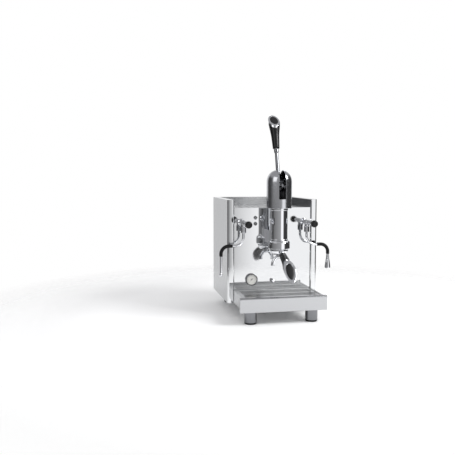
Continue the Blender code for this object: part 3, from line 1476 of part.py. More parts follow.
def build():
    """Makes every piece."""
    side_panel("side_panel_left", -1)
    side_panel("side_panel_right", 1)
    front_panel()
    rear_panel()
    base_pan()
    cup_tray()
    feet()
    drip_tray()
    group_neck()
    group_bell()
    spring_housing()
    piston()
    fork()
    fork_cover()
    lever()
    filter_holder()
    for name, side in (("water", -1), ("steam", 1)):
        seat = valve(name + "_valve", side)
        knob(name + "_knob", side, seat)
        wand_nut(name + "_wand_nut", side)
    wand("water", -1, WATER_TIP_BOTTOM_Z)
    wand("steam", 1, STEAM_TIP_BOTTOM_Z)
    gauge()
    lamps()
    power_button()
    boiler()
    heating_element()
    water_tank()
    pump()
    mains_inlet()
    hang_moving_pieces()


clear_scene()
FINISHES = make_finishes()
build()
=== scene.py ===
"""The looks of a one-group lever espresso machine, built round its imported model.

Everything is in metres, in the model's own frame: +Z up, and -Y the front that the user faces.
"""
import math

import bmesh
import bpy
from mathutils import Matrix, Vector


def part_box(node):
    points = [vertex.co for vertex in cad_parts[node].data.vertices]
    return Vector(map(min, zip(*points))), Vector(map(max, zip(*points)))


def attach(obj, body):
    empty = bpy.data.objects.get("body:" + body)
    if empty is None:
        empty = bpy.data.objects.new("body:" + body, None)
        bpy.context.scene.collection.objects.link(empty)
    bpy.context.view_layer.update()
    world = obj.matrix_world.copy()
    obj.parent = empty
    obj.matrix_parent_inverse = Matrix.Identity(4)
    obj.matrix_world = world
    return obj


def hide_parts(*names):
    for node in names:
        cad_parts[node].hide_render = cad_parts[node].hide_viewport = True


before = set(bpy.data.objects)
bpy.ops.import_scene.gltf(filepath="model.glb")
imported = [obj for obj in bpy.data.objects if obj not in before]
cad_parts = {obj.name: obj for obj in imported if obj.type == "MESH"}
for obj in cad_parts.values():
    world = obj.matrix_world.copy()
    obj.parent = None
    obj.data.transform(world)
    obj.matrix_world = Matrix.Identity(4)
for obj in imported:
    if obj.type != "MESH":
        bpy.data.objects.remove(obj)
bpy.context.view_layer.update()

MM = 0.001

# ---------------------------------------------------------------- Side panels
# Each side of the casing is one folded sheet of 1.5 mm stainless steel: the outer skin, a pillar
# folded in at the front and a flat top rail. The folds are pressed and the pillars are polished.


def linear(hex_colour):
    """An sRGB colour such as #C0C0C2 as linear RGBA."""
    channels = [int(hex_colour[start : start + 2], 16) / 255 for start in (1, 3, 5)]
    return tuple(c / 12.92 if c <= 0.04045 else ((c + 0.055) / 1.055) ** 2.4 for c in channels) + (1.0,)


def node(tree, kind, inputs=None, **settings):
    """Adds a node, sets its settings, and sets or links its inputs."""
    made = tree.nodes.new(kind)
    for name, value in settings.items():
        setattr(made, name, value)
    for key, value in (inputs or {}).items():
        if isinstance(value, bpy.types.NodeSocket):
            tree.links.new(value, made.inputs[key])
        else:
            made.inputs[key].default_value = value
    return made


def mapped(tree, value, from_min, from_max, to_min, to_max, **settings):
    """A value brought from one range to another."""
    ranges = {"From Min": from_min, "From Max": from_max, "To Min": to_min, "To Max": to_max}
    return node(tree, "ShaderNodeMapRange", {"Value": value, **ranges}, **settings).outputs["Result"]


def finish(name, sockets, grain, rough, bump, stretch=(1, 1, 1)):
    """A Principled material. Its roughness varies between two values with a fine grain, which also
    stands out in relief. grain is the pattern's size and bump its height, both in metres. Returns the
    material and the pattern's node."""
    material = bpy.data.materials.new(name)
    material.use_nodes = True
    tree = material.node_tree
    shader = tree.nodes["Principled BSDF"]
    for key, value in sockets.items():
        shader.inputs[key].default_value = value
    place = node(tree, "ShaderNodeTexCoord")
    mapping = node(tree, "ShaderNodeMapping", {"Vector": place.outputs["Object"], "Scale": stretch})
    pattern = {"Vector": mapping.outputs["Vector"], "Scale": 1 / grain, "Detail": 3.0, "Roughness": 0.6}
    noise = node(tree, "ShaderNodeTexNoise", pattern)
    tree.links.new(mapped(tree, noise.outputs["Fac"], 0.3, 0.7, *rough), shader.inputs["Roughness"])
    raised = {"Height": noise.outputs["Fac"], "Strength": 1.0, "Distance": bump}
    relief = node(tree, "ShaderNodeBump", raised)
    tree.links.new(relief.outputs["Normal"], shader.inputs["Normal"])
    return material, noise


def metal(name, colour, grain, rough, bump, stretch=(1, 1, 1)):
    """A bare or plated metal."""
    return finish(name, {"Base Color": linear(colour), "Metallic": 1.0}, grain, rough, bump, stretch)[0]


def brushed_steel(name, along, colour="#C9CACB", rough=(0.20, 0.34)):
    """Stainless steel brushed in one direction: fine scratches blur what it mirrors across them."""
    sockets = {"Base Color": linear(colour), "Metallic": 1.0, "Anisotropic": 0.4}
    # The real scratches are about 0.1 mm wide. They are drawn at 0.5 mm, so that they show.
    stretch = tuple(0.015 if axis == along else 1.0 for axis in "XYZ")
    return finish(name, sockets, 0.5 * MM, rough, 0.004 * MM, stretch)[0]


# Polished stainless steel: a mirror with a faint haze where it has been wiped.
MIRROR_STEEL = metal("mirror_polished_stainless", "#DCDDDE", 60 * MM, (0.035, 0.075), 0.02 * MM)
STEEL_BRUSHED_X = brushed_steel("stainless_brushed_across", "X")
STEEL_BRUSHED_Y = brushed_steel("stainless_brushed_front_to_back", "Y")
STEEL_BRUSHED_Z = brushed_steel("stainless_brushed_upright", "Z")
# The inward faces of the folds take a dull, dark grey: painted shade, for the dark lines where the pillars'
# returns meet the front panel.
STEEL_FOLDS_PAINTED_SHADE = brushed_steel("stainless_folds_painted_shade", "Z", "#6C6D70", (0.25, 0.40))


def evaluated(obj):
    """Applies the object's modifiers to its mesh."""
    bpy.context.view_layer.update()
    mesh = bpy.data.meshes.new_from_object(obj.evaluated_get(bpy.context.evaluated_depsgraph_get()))
    obj.modifiers.clear()
    old = obj.data
    obj.data = mesh
    bpy.data.meshes.remove(old)
    return obj


def object_from(name, shape, *materials, sharp_deg=32):
    """Turns a bmesh into an object with smooth shading and sharp edges."""
    bmesh.ops.recalc_face_normals(shape, faces=shape.faces)
    if shape.calc_volume(signed=True) < 0:
        bmesh.ops.reverse_faces(shape, faces=shape.faces)
    mesh = bpy.data.meshes.new(name)
    shape.to_mesh(mesh)
    shape.free()
    for material in materials:
        mesh.materials.append(material)
    mesh.shade_smooth()
    mesh.set_sharp_from_angle(angle=math.radians(sharp_deg))
    obj = bpy.data.objects.new(name, mesh)
    bpy.context.scene.collection.objects.link(obj)
    return obj


def settle(obj, body, slot, *replaced):
    """Hangs a finished piece on its body and hides the CAD nodes that it stands for."""
    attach(obj, body)
    if replaced:
        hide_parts(*replaced)
    return obj


def softened(name, cad_node, radius, *materials, segments=3, share=None):
    """A CAD node's shape with its flat faces made whole and its edges rounded. share(start, end) gives
    the part of the radius that the edge between two points gets."""
    shape = bmesh.new()
    shape.from_mesh(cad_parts[cad_node].data)
    bmesh.ops.remove_doubles(shape, verts=shape.verts, dist=0.00001)
    bmesh.ops.dissolve_limit(shape, angle_limit=math.radians(1), verts=shape.verts, edges=shape.edges)
    weight = shape.edges.layers.float.new("bevel_weight_edge")
    for edge in shape.edges:
        if edge.calc_face_angle(0) > math.radians(30):
            edge[weight] = share(edge.verts[0].co, edge.verts[1].co) if share else 1.0
    obj = object_from(name, shape, *materials, sharp_deg=180)
    bevel = obj.modifiers.new("rounding", "BEVEL")
    bevel.width = radius
    bevel.segments = segments
    bevel.limit_method = "WEIGHT"
    bevel.use_clamp_overlap = share is None
    flat = obj.modifiers.new("flat_faces_stay_flat", "WEIGHTED_NORMAL")
    flat.weight = 100
    return evaluated(obj)


def casing_fold(start, end):
    """The share of the fold's radius at an edge. The fold from the outer skin to the pillar is widest,
    the pillar's inner fold is tighter, and both are tighter inside. Short and cut edges are only broken."""
    ahead = max(start.y, end.y)
    if abs(start.z - end.z) < 200 * MM or ahead > cad_front + 2 * MM:
        return 0.08
    if abs(start.x) > casing_half - 2 * MM:
        return 1.0 if ahead < cad_front + 1 * MM else 0.8
    return 0.65 if ahead < cad_front + 1 * MM else 0.45


cad_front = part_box("side_panel_left")[0].y
casing_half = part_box("side_panel_right")[1].x
for side in ("left", "right"):
    panel = softened(
        "casing_side_" + side,
        "side_panel_" + side,
        7.5 * MM,
        MIRROR_STEEL,
        STEEL_BRUSHED_Z,
        STEEL_FOLDS_PAINTED_SHADE,
        segments=8,
        share=casing_fold,
    )
    # Outward faces take the brushed finish; inward faces take the dark grey of painted shade.
    for face in panel.data.polygons:
        if abs(face.normal.x) > 0.9 and face.area > 0.001:
            face.material_index = 1 if face.normal.x * face.center.x > 0 else 2
    settle(panel, "machine", "polished_steel", "side_panel_" + side)

# ---------------------------------------------------------------- Front and rear panels, base pan
# The front is a mirror-polished sheet folded back round its edges and pierced for the fittings.
# The rear panel is a plain brushed sheet with cooling slots, screwed on. The pan is hidden under both.

for name, cad_node, radius, material, slot in (
    ("casing_front", "front_panel", 0.5 * MM, MIRROR_STEEL, "polished_steel"),
    ("casing_rear", "rear_panel", 0.4 * MM, STEEL_BRUSHED_X, "polished_steel"),
    ("casing_base_pan", "base_pan", 0.4 * MM, STEEL_BRUSHED_X, "brushed_steel"),
):
    settle(softened(name, cad_node, radius, material), "machine", slot, cad_node)

# ---------------------------------------------------------------- Cup tray
# A lift-off plate of brushed stainless steel that lies between the side rails and warms cups.

cup_tray = softened("cup_warming_tray", "cup_tray", 0.4 * MM, STEEL_BRUSHED_Y)
settle(cup_tray, "cup_tray", "brushed_steel", "cup_tray")

# ---------------------------------------------------------------- Feet
# Turned and brushed stainless sleeves, with black rubber pads pressed in from below.

# Moulded black rubber: matt, with a fine tooth.
RUBBER_SOCKETS = {"Base Color": linear("#151516"), "Specular IOR Level": 0.2}
RUBBER = finish("moulded_black_rubber", RUBBER_SOCKETS, 0.6 * MM, (0.60, 0.82), 0.04 * MM)[0]
# The sleeves' steel is a darker grey than bare stainless: painted shade, for the darker surroundings that
# the feet mirror.
FOOT_STEEL_PAINTED_SHADE = brushed_steel("stainless_turned_feet_painted_shade", "Z", "#7F8083", (0.07, 0.13))


def filleted(points, radius, steps=4, closed=False):
    """A profile with its corners rounded. A point may carry its own radius as a third number."""
    count = len(points)
    rounded = []
    for index, point in enumerate(points):
        here = Vector(point[:2])
        reach = point[2] if len(point) > 2 else radius
        if (not closed and index in (0, count - 1)) or reach <= 0:
            rounded.append(here)
            continue
        before = Vector(points[index - 1][:2]) - here
        after = Vector(points[(index + 1) % count][:2]) - here
        reach = min(reach, before.length * 0.45, after.length * 0.45)
        if reach < 1e-6 or before.angle(after, math.pi) > math.radians(176):
            rounded.append(here)
            continue
        start = here + before.normalized() * reach
        end = here + after.normalized() * reach
        for step in range(steps + 1):
            share = step / steps
            first = start.lerp(here, share)
            second = here.lerp(end, share)
            rounded.append(first.lerp(second, share))
    return [(point.x, point.y) for point in rounded]


TURNS = {
    "Z": Matrix.Identity(4),
    "X": Matrix.Rotation(math.radians(90), 4, "Y"),
    "-X": Matrix.Rotation(math.radians(-90), 4, "Y"),
    "Y": Matrix.Rotation(math.radians(-90), 4, "X"),
    "-Y": Matrix.Rotation(math.radians(90), 4, "X"),
}


def lathe(profile, centre=(0, 0, 0), axis="Z", steps=72, matrix=None):
    """A turned solid. profile lists (radius, height), from the axis to the axis or round a ring."""
    shape = bmesh.new()
    rings = []
    for radius, height in profile:
        if radius < 1e-7:
            rings.append([shape.verts.new((0, 0, height))] * steps)
            continue
        ring = []
        for step in range(steps):
            angle = 2 * math.pi * step / steps
            ring.append(shape.verts.new((radius * math.cos(angle), radius * math.sin(angle), height)))
        rings.append(ring)
    ring_shape = profile[0][0] > 1e-7
    pairs = list(zip(rings, rings[1:])) + ([(rings[-1], rings[0])] if ring_shape else [])
    for low, high in pairs:
        for step in range(steps):
            after = (step + 1) % steps
            corners = list(dict.fromkeys([low[step], low[after], high[after], high[step]]))
            if len(corners) > 2:
                shape.faces.new(corners)
    place = matrix if matrix is not None else Matrix.Translation(centre) @ TURNS[axis]
    bmesh.ops.transform(shape, matrix=place, verts=shape.verts)
    return shape


def turned(name, outline, fillet, material, *place, corner_steps=4, closed=False, **shaping):
    """A turned piece with rounded corners. Its place and shaping are those of lathe."""
    profile = filleted(outline, fillet, corner_steps, closed)
    return object_from(name, lathe(profile, *place, **shaping), material)


for corner in ("front_left", "front_right", "rear_left", "rear_right"):
    low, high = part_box("foot_" + corner)
    pad_low, pad_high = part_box("foot_pad_" + corner)
    middle = ((low.x + high.x) / 2, (low.y + high.y) / 2, 0)
    radius = (high.x - low.x) / 2
    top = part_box("base_pan")[0].z - 0.3 * MM
    bore = radius - 4 * MM
    outline = [
        (0, top - 12 * MM), (bore, top - 12 * MM), (bore, low.z), (radius, low.z),
        (radius, top - 4 * MM), (radius - 0.8 * MM, top - 3.2 * MM),
        (radius - 0.8 * MM, top - 2.4 * MM), (radius, top - 1.6 * MM), (radius, top), (0, top),
    ]
    sleeve = turned("foot_sleeve_" + corner, outline, 0.5 * MM, FOOT_STEEL_PAINTED_SHADE, middle)
    settle(sleeve, "machine", "brushed_steel", "foot_" + corner)
    wide = (pad_high.x - pad_low.x) / 2
    seat = low.z - 0.3 * MM
    outline = [(0, 0), (wide - 3 * MM, 0), (wide, 1.6 * MM), (wide, seat), (bore - 0.3 * MM, seat)]
    outline += [(bore - 0.3 * MM, pad_high.z), (0, pad_high.z)]
    pad = turned("foot_rubber_" + corner, outline, 0.6 * MM, RUBBER, middle)
    settle(pad, "machine", "black_rubber", "foot_pad_" + corner)

# ---------------------------------------------------------------- Drip tray
# A folded stainless basin behind a brushed front, whose top edge is rolled over. The grate is a flat
# punched plate that lies inside the rim.

basin = softened("drip_basin", "drip_tray_basin", 0.5 * MM, STEEL_BRUSHED_X)
settle(basin, "drip_tray", "brushed_steel", "drip_tray_basin")


def rolled_edge(start, end):
    """The fascia's long top edge, which is rolled over. Its other edges are only broken."""
    return 1.0 if min(start.z, end.z) > fascia_top - 1 * MM and abs(start.x - end.x) > 100 * MM else 0.25


STEEL_FINE_BRUSHED = brushed_steel("stainless_fine_brushed_across", "X", "#B9BABC", (0.10, 0.17))
fascia_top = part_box("drip_tray_front")[1].z
tray_front = softened(
    "drip_tray_fascia", "drip_tray_front", 2.4 * MM, STEEL_FINE_BRUSHED, segments=6, share=rolled_edge
)
settle(tray_front, "drip_tray", "brushed_steel", "drip_tray_front")
grate = softened("drip_grate_plate", "drip_grate", 0.3 * MM, STEEL_BRUSHED_X, segments=2)
settle(grate, "drip_grate", "brushed_steel", "drip_grate")

# ---------------------------------------------------------------- Lever group
# The neck is a chromed brass casting. On it stand the turned bell that takes the filter holder and the
# spring housing, all chromed.

# Chrome plate on turned brass: a near-perfect mirror with a faint grey of its own.
CHROME = metal("bright_chrome_plate", "#E4E5E8", 25 * MM, (0.03, 0.07), 0.01 * MM)

housing_low, housing_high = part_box("spring_housing")
group_axis = (housing_low + housing_high) / 2
group = Vector((group_axis.x, group_axis.y, 0))

neck = softened("group_neck_casting", "group_neck", 1.5 * MM, CHROME, segments=4)
settle(neck, "machine", "chrome", "group_neck")

# The housing is turned, with a shallow bead at each end.
radius = (housing_high.x - housing_low.x) / 2
bore = radius - 4 * MM
bead = 1.2 * MM
outline = [
    (bore, housing_low.z), (radius, housing_low.z), (radius, housing_low.z + 3 * MM),
    (radius - bead, housing_low.z + 4 * MM), (radius - bead, housing_high.z - 7 * MM),
    (radius, housing_high.z - 6 * MM), (radius, housing_high.z), (5.3 * MM, housing_high.z),
    (5.3 * MM, housing_high.z - 7 * MM), (bore, housing_high.z - 7 * MM),
]
housing = turned("spring_housing_tube", outline, 0.5 * MM, CHROME, group, closed=True, steps=96)
settle(housing, "machine", "chrome", "spring_housing")


def carved(obj, *shapes, operation="DIFFERENCE"):
    """Cuts each shape from an object, or joins it on with the operation UNION."""
    for shape in shapes:
        tool = object_from(obj.name + "_tool", shape)
        modifier = obj.modifiers.new("carve", "BOOLEAN")
        modifier.object = tool
        modifier.operation = operation
        modifier.solver = "EXACT"
        evaluated(obj)
        mesh = tool.data
        bpy.data.objects.remove(tool)
        bpy.data.meshes.remove(mesh)
    obj.data.shade_smooth()
    obj.data.set_sharp_from_angle(angle=math.radians(32))
    return obj


# The bell: a heavy ring with a chamfered rim, and inside it the groove for the holder's ears.
bell_low, bell_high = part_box("group_bell")
radius = (bell_high.x - bell_low.x) / 2
lip, groove_top, seat_top = 6 * MM, 14 * MM, 19 * MM
inner, groove = 32.3 * MM, 35.5 * MM
outline = [
    (inner, bell_low.z), (radius - 3 * MM, bell_low.z), (radius, bell_low.z + 3 * MM),
    (radius, bell_high.z - 6 * MM), (radius - 4 * MM, bell_high.z, 2.5 * MM),
    (bore, bell_high.z), (bore, bell_low.z + seat_top), (inner + 1 * MM, bell_low.z + seat_top),
    (inner + 1 * MM, bell_low.z + groove_top), (groove, bell_low.z + groove_top),
    (groove, bell_low.z + lip), (inner, bell_low.z + lip),
]
bell = turned("group_bell_ring", outline, 0.6 * MM, CHROME, group, closed=True, steps=96)
settle(bell, "machine", "chrome", "group_bell")

# ---------------------------------------------------------------- Fork cover
# A domed shell of satin-polished metal over the lever's fork, slotted for the lever's swing.

# Satin-polished chrome: the mirror is softened by fine turning marks round the piece.
SATIN_CHROME = metal("satin_chrome_plate", "#CBCCD0", 0.6 * MM, (0.14, 0.24), 0.01 * MM, (0.05, 0.05, 1.0))
cover_low, cover_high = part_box("fork_cover")
pin = Vector((group.x, group.y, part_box("piston")[1].z - 9 * MM))
cover_radius = (cover_high.x - cover_low.x) / 2
shoulder = cover_high.z - cover_radius
wall = 2.5 * MM
# The dome's section is a superellipse, a little squarer than a circle.
squareness = 2.25
outside = []
for step in range(25):
    angle = math.pi / 2 * step / 24
    across = cover_radius * max(math.cos(angle), 0.0) ** (2 / squareness)
    rise = cover_radius * math.sin(angle) ** (2 / squareness)
    outside.append((across if step < 24 else 0.0, shoulder + rise))
shrink = (cover_radius - wall) / cover_radius
inside = [(across * shrink, shoulder + (height - shoulder) * shrink) for across, height in outside]
outline = outside[::-1] + [(cover_radius, cover_low.z + 1 * MM), (cover_radius - 0.8 * MM, cover_low.z)]
outline += [(cover_radius - wall, cover_low.z)] + inside
cover = object_from("fork_cover_dome", lathe(outline, group, steps=128), SATIN_CHROME)


def thickened(shape, face, offset):
    """Draws a flat face out into a solid plate."""
    grown = bmesh.ops.extrude_face_region(shape, geom=[face])["geom"]
    moved = [item for item in grown if isinstance(item, bmesh.types.BMVert)]
    bmesh.ops.translate(shape, vec=offset, verts=moved)
    return shape


def slot_cutter(half, low_z, high_z, y_low, y_high, fillet=4 * MM):
    """A block with rounded lower corners, seen from the front."""
    shape = bmesh.new()
    outline = [(-half, high_z), (-half, low_z + fillet)]
    for middle, first_step, start in ((fillet - half, 1, math.pi), (half - fillet, 0, 1.5 * math.pi)):
        for step in range(first_step, 9):
            angle = start + math.pi / 2 * step / 8
            outline.append((middle + fillet * math.cos(angle), low_z + fillet + fillet * math.sin(angle)))
    outline.append((half, high_z))
    face = shape.faces.new([shape.verts.new((x, y_low, z)) for x, z in outline])
    return thickened(shape, face, (0, y_high - y_low, 0))


# The lever leans back at rest, so the slot runs on over the dome.
lean = math.radians(17)
slot_half = 12 * MM
slot_back = group.y + math.tan(lean) * (cover_high.z - pin.z) + 12 * MM
carved(
    cover,
    slot_cutter(slot_half, cover_low.z + 30.7 * MM, cover_high.z + 5 * MM, group.y - 50 * MM, group.y),
    slot_cutter(slot_half, shoulder, cover_high.z + 6 * MM, group.y - 5 * MM, slot_back),
)
settle(cover, "machine", "polished_steel", "fork_cover")

# ---------------------------------------------------------------- Lever drive
# The steel fork, the lever's head and the roller shaft that runs in the fork's slots.

# Oiled spring and machine steel, dark and a little uneven.
DARK_STEEL = metal("oiled_machine_steel", "#5C5D60", 3 * MM, (0.25, 0.45), 0.03 * MM)
fork = softened("lever_fork", "fork", 0.6 * MM, DARK_STEEL)
settle(fork, "machine", "spring_steel", "fork")
head = softened("lever_head_casting", "lever_head", 0.5 * MM, CHROME)
settle(head, "lever", "chrome", "lever_head")
roller_low, roller_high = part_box("roller_shaft")
middle = (roller_low + roller_high) / 2
end, radius = roller_high.x, (roller_high.z - roller_low.z) / 2
outline = [(0, -end), (radius, -end), (radius, -end + 6 * MM), (4 * MM, -end + 6 * MM)]
outline += [(4 * MM, end - 6 * MM), (radius, end - 6 * MM), (radius, end), (0, end)]
rollers = turned("lever_roller_shaft", outline, 0.5 * MM, DARK_STEEL, middle, "X")
settle(rollers, "lever", "spring_steel", "roller_shaft")

# ---------------------------------------------------------------- Lever rod and handles
# The rod is turned from stainless steel and tapered, with a ferrule under the grip. Both grips are
# moulded black phenolic with a slanting end, closed by a chromed ring round a black inset.

# Moulded black phenolic: deep black, semi-gloss, with a very fine orange peel.
PHENOLIC_SOCKETS = {
    "Base Color": linear("#0B0B0C"),
    "Specular IOR Level": 0.3,
    "Coat Weight": 0.1,
    "Coat Roughness": 0.2,
}
PHENOLIC = finish("moulded_black_phenolic", PHENOLIC_SOCKETS, 2 * MM, (0.28, 0.40), 0.03 * MM)[0]


def along_axis(root, direction, up):
    """A matrix whose Z runs along direction and whose Y is as near as it can be to up."""
    z_axis = Vector(direction).normalized()
    x_axis = Vector(up).cross(z_axis).normalized()
    matrix = Matrix((x_axis, z_axis.cross(x_axis), z_axis)).transposed().to_4x4()
    matrix.translation = Vector(root)
    return matrix


lever_direction = Vector((0, math.sin(lean), math.cos(lean)))
lever_frame = along_axis(pin, lever_direction, (0, -1, 0))
ROD_START, ROD_END = 46.3 * MM, 141.7 * MM
# The rod's steel is a darker grey than bare stainless: painted shade, for the darker surroundings that it
# mirrors.
ROD_STEEL_PAINTED_SHADE = brushed_steel("stainless_turned_rod_painted_shade", "Z", "#7D7E81", (0.10, 0.18))
outline = [
    (0, ROD_START - 16 * MM), (4 * MM, ROD_START - 16 * MM), (4 * MM, ROD_START),
    (7.4 * MM, ROD_START), (7.4 * MM, ROD_START + 3 * MM), (6.9 * MM, ROD_START + 6 * MM),
    (5.8 * MM, ROD_END - 16 * MM), (6.2 * MM, ROD_END - 14 * MM), (8 * MM, ROD_END - 13 * MM),
    (8 * MM, ROD_END - 4 * MM), (7.2 * MM, ROD_END - 3 * MM), (7.2 * MM, ROD_END - 1.5 * MM),
    (8 * MM, ROD_END - 0.5 * MM), (8 * MM, ROD_END), (4 * MM, ROD_END),
    (4 * MM, ROD_END + 29 * MM), (0, ROD_END + 29 * MM),
]
rod = turned("lever_rod_turned", outline, 0.6 * MM, ROD_STEEL_PAINTED_SHADE, steps=64, matrix=lever_frame)
settle(rod, "lever", "chrome", "lever_rod")

CAP_THICKNESS = 6 * MM
GRIP_END = 20 * MM


def smooth_curve(points, steps):
    """A smooth line through points, each given as (radius, height)."""
    path = [Vector(point) for point in points]
    path = [path[0] * 2 - path[1]] + path + [path[-1] * 2 - path[-2]]
    line = []
    for before, start, end, after in zip(path, path[1:], path[2:], path[3:]):
        for step in range(steps):
            t = step / steps
            point = 2 * start + (end - before) * t
            point += (2 * before - 5 * start + 4 * end - after) * t**2
            point += (3 * start - before - 3 * end + after) * t**3
            line.append(0.5 * point)
    return [(point.x, point.y) for point in line] + [tuple(path[-2])]


def grip_blank(matrix, length, steps=96):
    """The grip before its end is cut: slim at the root, full at the end, and bored for its tang."""
    root, over = 11.5 * MM, length + 60 * MM
    shape_points = [
        (root, 2 * MM), (12.8 * MM, length * 0.25), (14.5 * MM, length * 0.5),
        (GRIP_END - 1.5 * MM, length * 0.78), (GRIP_END - 0.1 * MM, length * 0.95),
        (GRIP_END - 0.1 * MM, over),
    ]
    outline = [(0, 30 * MM), (4.3 * MM, 30 * MM), (4.3 * MM, 0)]
    outline += [(root - 2 * MM, 0), (root - 0.6 * MM, 0.6 * MM)]
    outline += smooth_curve(shape_points, 8) + [(0, over)]
    return lathe(outline, steps=steps, matrix=matrix)


def kept_below(shape, end_frame, offset, keep_above=False):
    """Cuts a solid at a plane, keeps one side, and closes the cut. The plane is end_frame's level one,
    moved out by offset. Returns the face that closes the cut."""
    normal = end_frame.to_3x3() @ Vector((0, 0, 1))
    every = shape.verts[:] + shape.edges[:] + shape.faces[:]
    cut = bmesh.ops.bisect_plane(
        shape,
        geom=every,
        plane_co=end_frame @ Vector((0, 0, offset)),
        plane_no=normal,
        dist=1e-7,
        clear_inner=keep_above,
        clear_outer=not keep_above,
    )
    edges = [item for item in cut["geom_cut"] if isinstance(item, bmesh.types.BMEdge)]
    return bmesh.ops.contextual_create(shape, geom=edges)["faces"][0]


def sunk(shape, face, share, depth):
    """Sinks the middle of a flat face and leaves a rim round it. Returns the new floor's corners."""
    middle, normal = face.calc_center_median(), face.normal.copy()
    floor = bmesh.ops.extrude_discrete_faces(shape, faces=[face])["faces"][0]
    for corner in floor.verts:
        corner.co = middle.lerp(corner.co, share)
    floor = bmesh.ops.extrude_discrete_faces(shape, faces=[floor])["faces"][0]
    bmesh.ops.translate(shape, vec=-normal * depth, verts=floor.verts[:])
    return [corner.co.copy() for corner in floor.verts]


def stacked(loop, normal, layers):
    """A plate in layers, each the loop shrunk about its middle by a share and lifted by a height."""
    middle = sum(loop, Vector()) / len(loop)
    shape = bmesh.new()
    rings = []
    for share, height in layers:
        rings.append([shape.verts.new(middle.lerp(point, share) + normal * height) for point in loop])
    for low, high in zip(rings, rings[1:]):
        for index in range(len(loop)):
            after = (index + 1) % len(loop)
            shape.faces.new((low[index], low[after], high[after], high[index]))
    shape.faces.new(rings[0])
    shape.faces.new(rings[-1])
    return shape


def handle(name, matrix, length, slant_deg, body, nodes):
    """Grip, chromed ring and black inset of one handle. matrix puts its root, with Z along the grip."""
    slant = math.radians(slant_deg)
    normal = Vector((0, math.cos(slant), math.sin(slant)))
    turn = Vector((0, 0, 1)).rotation_difference(normal).to_matrix().to_4x4()
    end_frame = matrix @ Matrix.Translation((0, 0, length)) @ turn
    shape = grip_blank(matrix, length)
    face = kept_below(shape, end_frame, -CAP_THICKNESS - 0.3 * MM)
    bmesh.ops.bevel(shape, geom=face.edges[:], offset=0.6 * MM, segments=2, profile=0.5, affect="EDGES")
    grip = object_from(name + "_grip_moulding", shape, PHENOLIC)
    settle(grip, body, "black_plastic", nodes + "_grip")
    outward = end_frame.to_3x3() @ Vector((0, 0, 1))
    shape = grip_blank(matrix, length)
    face = kept_below(shape, end_frame, 0)
    bmesh.ops.bevel(shape, geom=face.edges[:], offset=2.0 * MM, segments=5, profile=0.5, affect="EDGES")
    kept_below(shape, end_frame, -CAP_THICKNESS, keep_above=True)
    bmesh.ops.recalc_face_normals(shape, faces=shape.faces)
    # The two cuts are the only faces with this many corners.
    flats = [item for item in shape.faces if len(item.verts) > 40]
    face = max(flats, key=lambda item: item.calc_center_median().dot(outward))
    loop = sunk(shape, face, 0.78, 1.4 * MM)
    ring = object_from(name + "_end_ring", shape, CHROME)
    settle(ring, body, "chrome", nodes + "_cap")
    layers = ((0.97, 0.2 * MM), (0.97, 0.5 * MM), (0.9, 0.9 * MM), (0.6, 1.1 * MM))
    badge = object_from(name + "_end_inset", stacked(loop, outward, layers), PHENOLIC)
    settle(badge, body, "black_plastic")


lever_root = along_axis(pin + lever_direction * 142 * MM, lever_direction, (0, -1, 0))
handle("lever", lever_root, length=102 * MM, slant_deg=36, body="lever", nodes="lever")

# ---------------------------------------------------------------- Filter holder
# A chromed brass bowl with two ears that lock in the bell, a turned neck to the handle and a double
# spout. The steel basket hangs in the bowl.

droop = math.radians(24)
holder_direction = Vector((0, -math.cos(droop), -math.sin(droop)))
holder_root = group + Vector((0, -46 * MM, 229 * MM))
holder_frame = along_axis(holder_root, holder_direction, (0, 0, 1))
bowl_low, bowl_high = 225 * MM, 256.6 * MM
radius = 31.8 * MM
outline = [
    (4 * MM, bowl_low), (14 * MM, bowl_low), (25.8 * MM, bowl_low + 1.5 * MM, 3 * MM),
    (29.8 * MM, bowl_low + 6 * MM, 3 * MM), (31.2 * MM, bowl_low + 13 * MM),
    (radius, bowl_low + 14 * MM), (radius, bowl_high), (28.2 * MM, bowl_high),
    (28.2 * MM, bowl_low + 4 * MM), (4 * MM, bowl_low + 4 * MM),
]
bowl = turned("filter_holder_bowl", outline, 0.6 * MM, CHROME, group, closed=True, steps=96)
neck_outline = [
    (0, -17.2 * MM), (9.5 * MM, -17.2 * MM), (7.6 * MM, -12 * MM), (7.6 * MM, -8 * MM),
    (9 * MM, -6.5 * MM), (9 * MM, -0.3 * MM), (4 * MM, -0.3 * MM), (4 * MM, 29 * MM),
    (0, 29 * MM),
]
carved(bowl, lathe(filleted(neck_outline, 0.8 * MM), steps=64, matrix=holder_frame), operation="UNION")
for ear_side in (1, -1):
    ear = bmesh.new()
    bmesh.ops.create_cube(ear, size=1.0)
    size = Matrix.Diagonal((10 * MM, 18 * MM, 4 * MM, 1.0))
    place = Matrix.Translation(group + Vector((ear_side * 29.6 * MM, 0, 252.3 * MM)))
    bmesh.ops.transform(ear, matrix=place @ size, verts=ear.verts)
    carved(bowl, ear, operation="UNION")
settle(bowl, "filter_holder", "chrome", "portafilter_body")
handle(
    "filter_holder", holder_frame, length=95 * MM, slant_deg=26, body="filter_holder", nodes="portafilter"
)


def swept(points, radii, sides=32):
    """A round bar along points, with its own radius at each, and no twist."""
    path = [Vector(point) for point in points]
    shape = bmesh.new()
    across = None
    rings = []
    for index, (point, radius_here) in enumerate(zip(path, radii)):
        ahead = (path[min(index + 1, len(path) - 1)] - path[max(index - 1, 0)]).normalized()
        across = ahead.orthogonal() if across is None else across - ahead * across.dot(ahead)
        across.normalize()
        other = ahead.cross(across)
        ring = []
        for step in range(sides):
            angle = 2 * math.pi * step / sides
            ring.append(point + (across * math.cos(angle) + other * math.sin(angle)) * radius_here)
        rings.append([shape.verts.new(place) for place in ring])
    for first, second in zip(rings, rings[1:]):
        for step in range(sides):
            after = (step + 1) % sides
            shape.faces.new((first[step], first[after], second[after], second[step]))
    shape.faces.new(rings[0][::-1])
    shape.faces.new(rings[-1])
    return shape


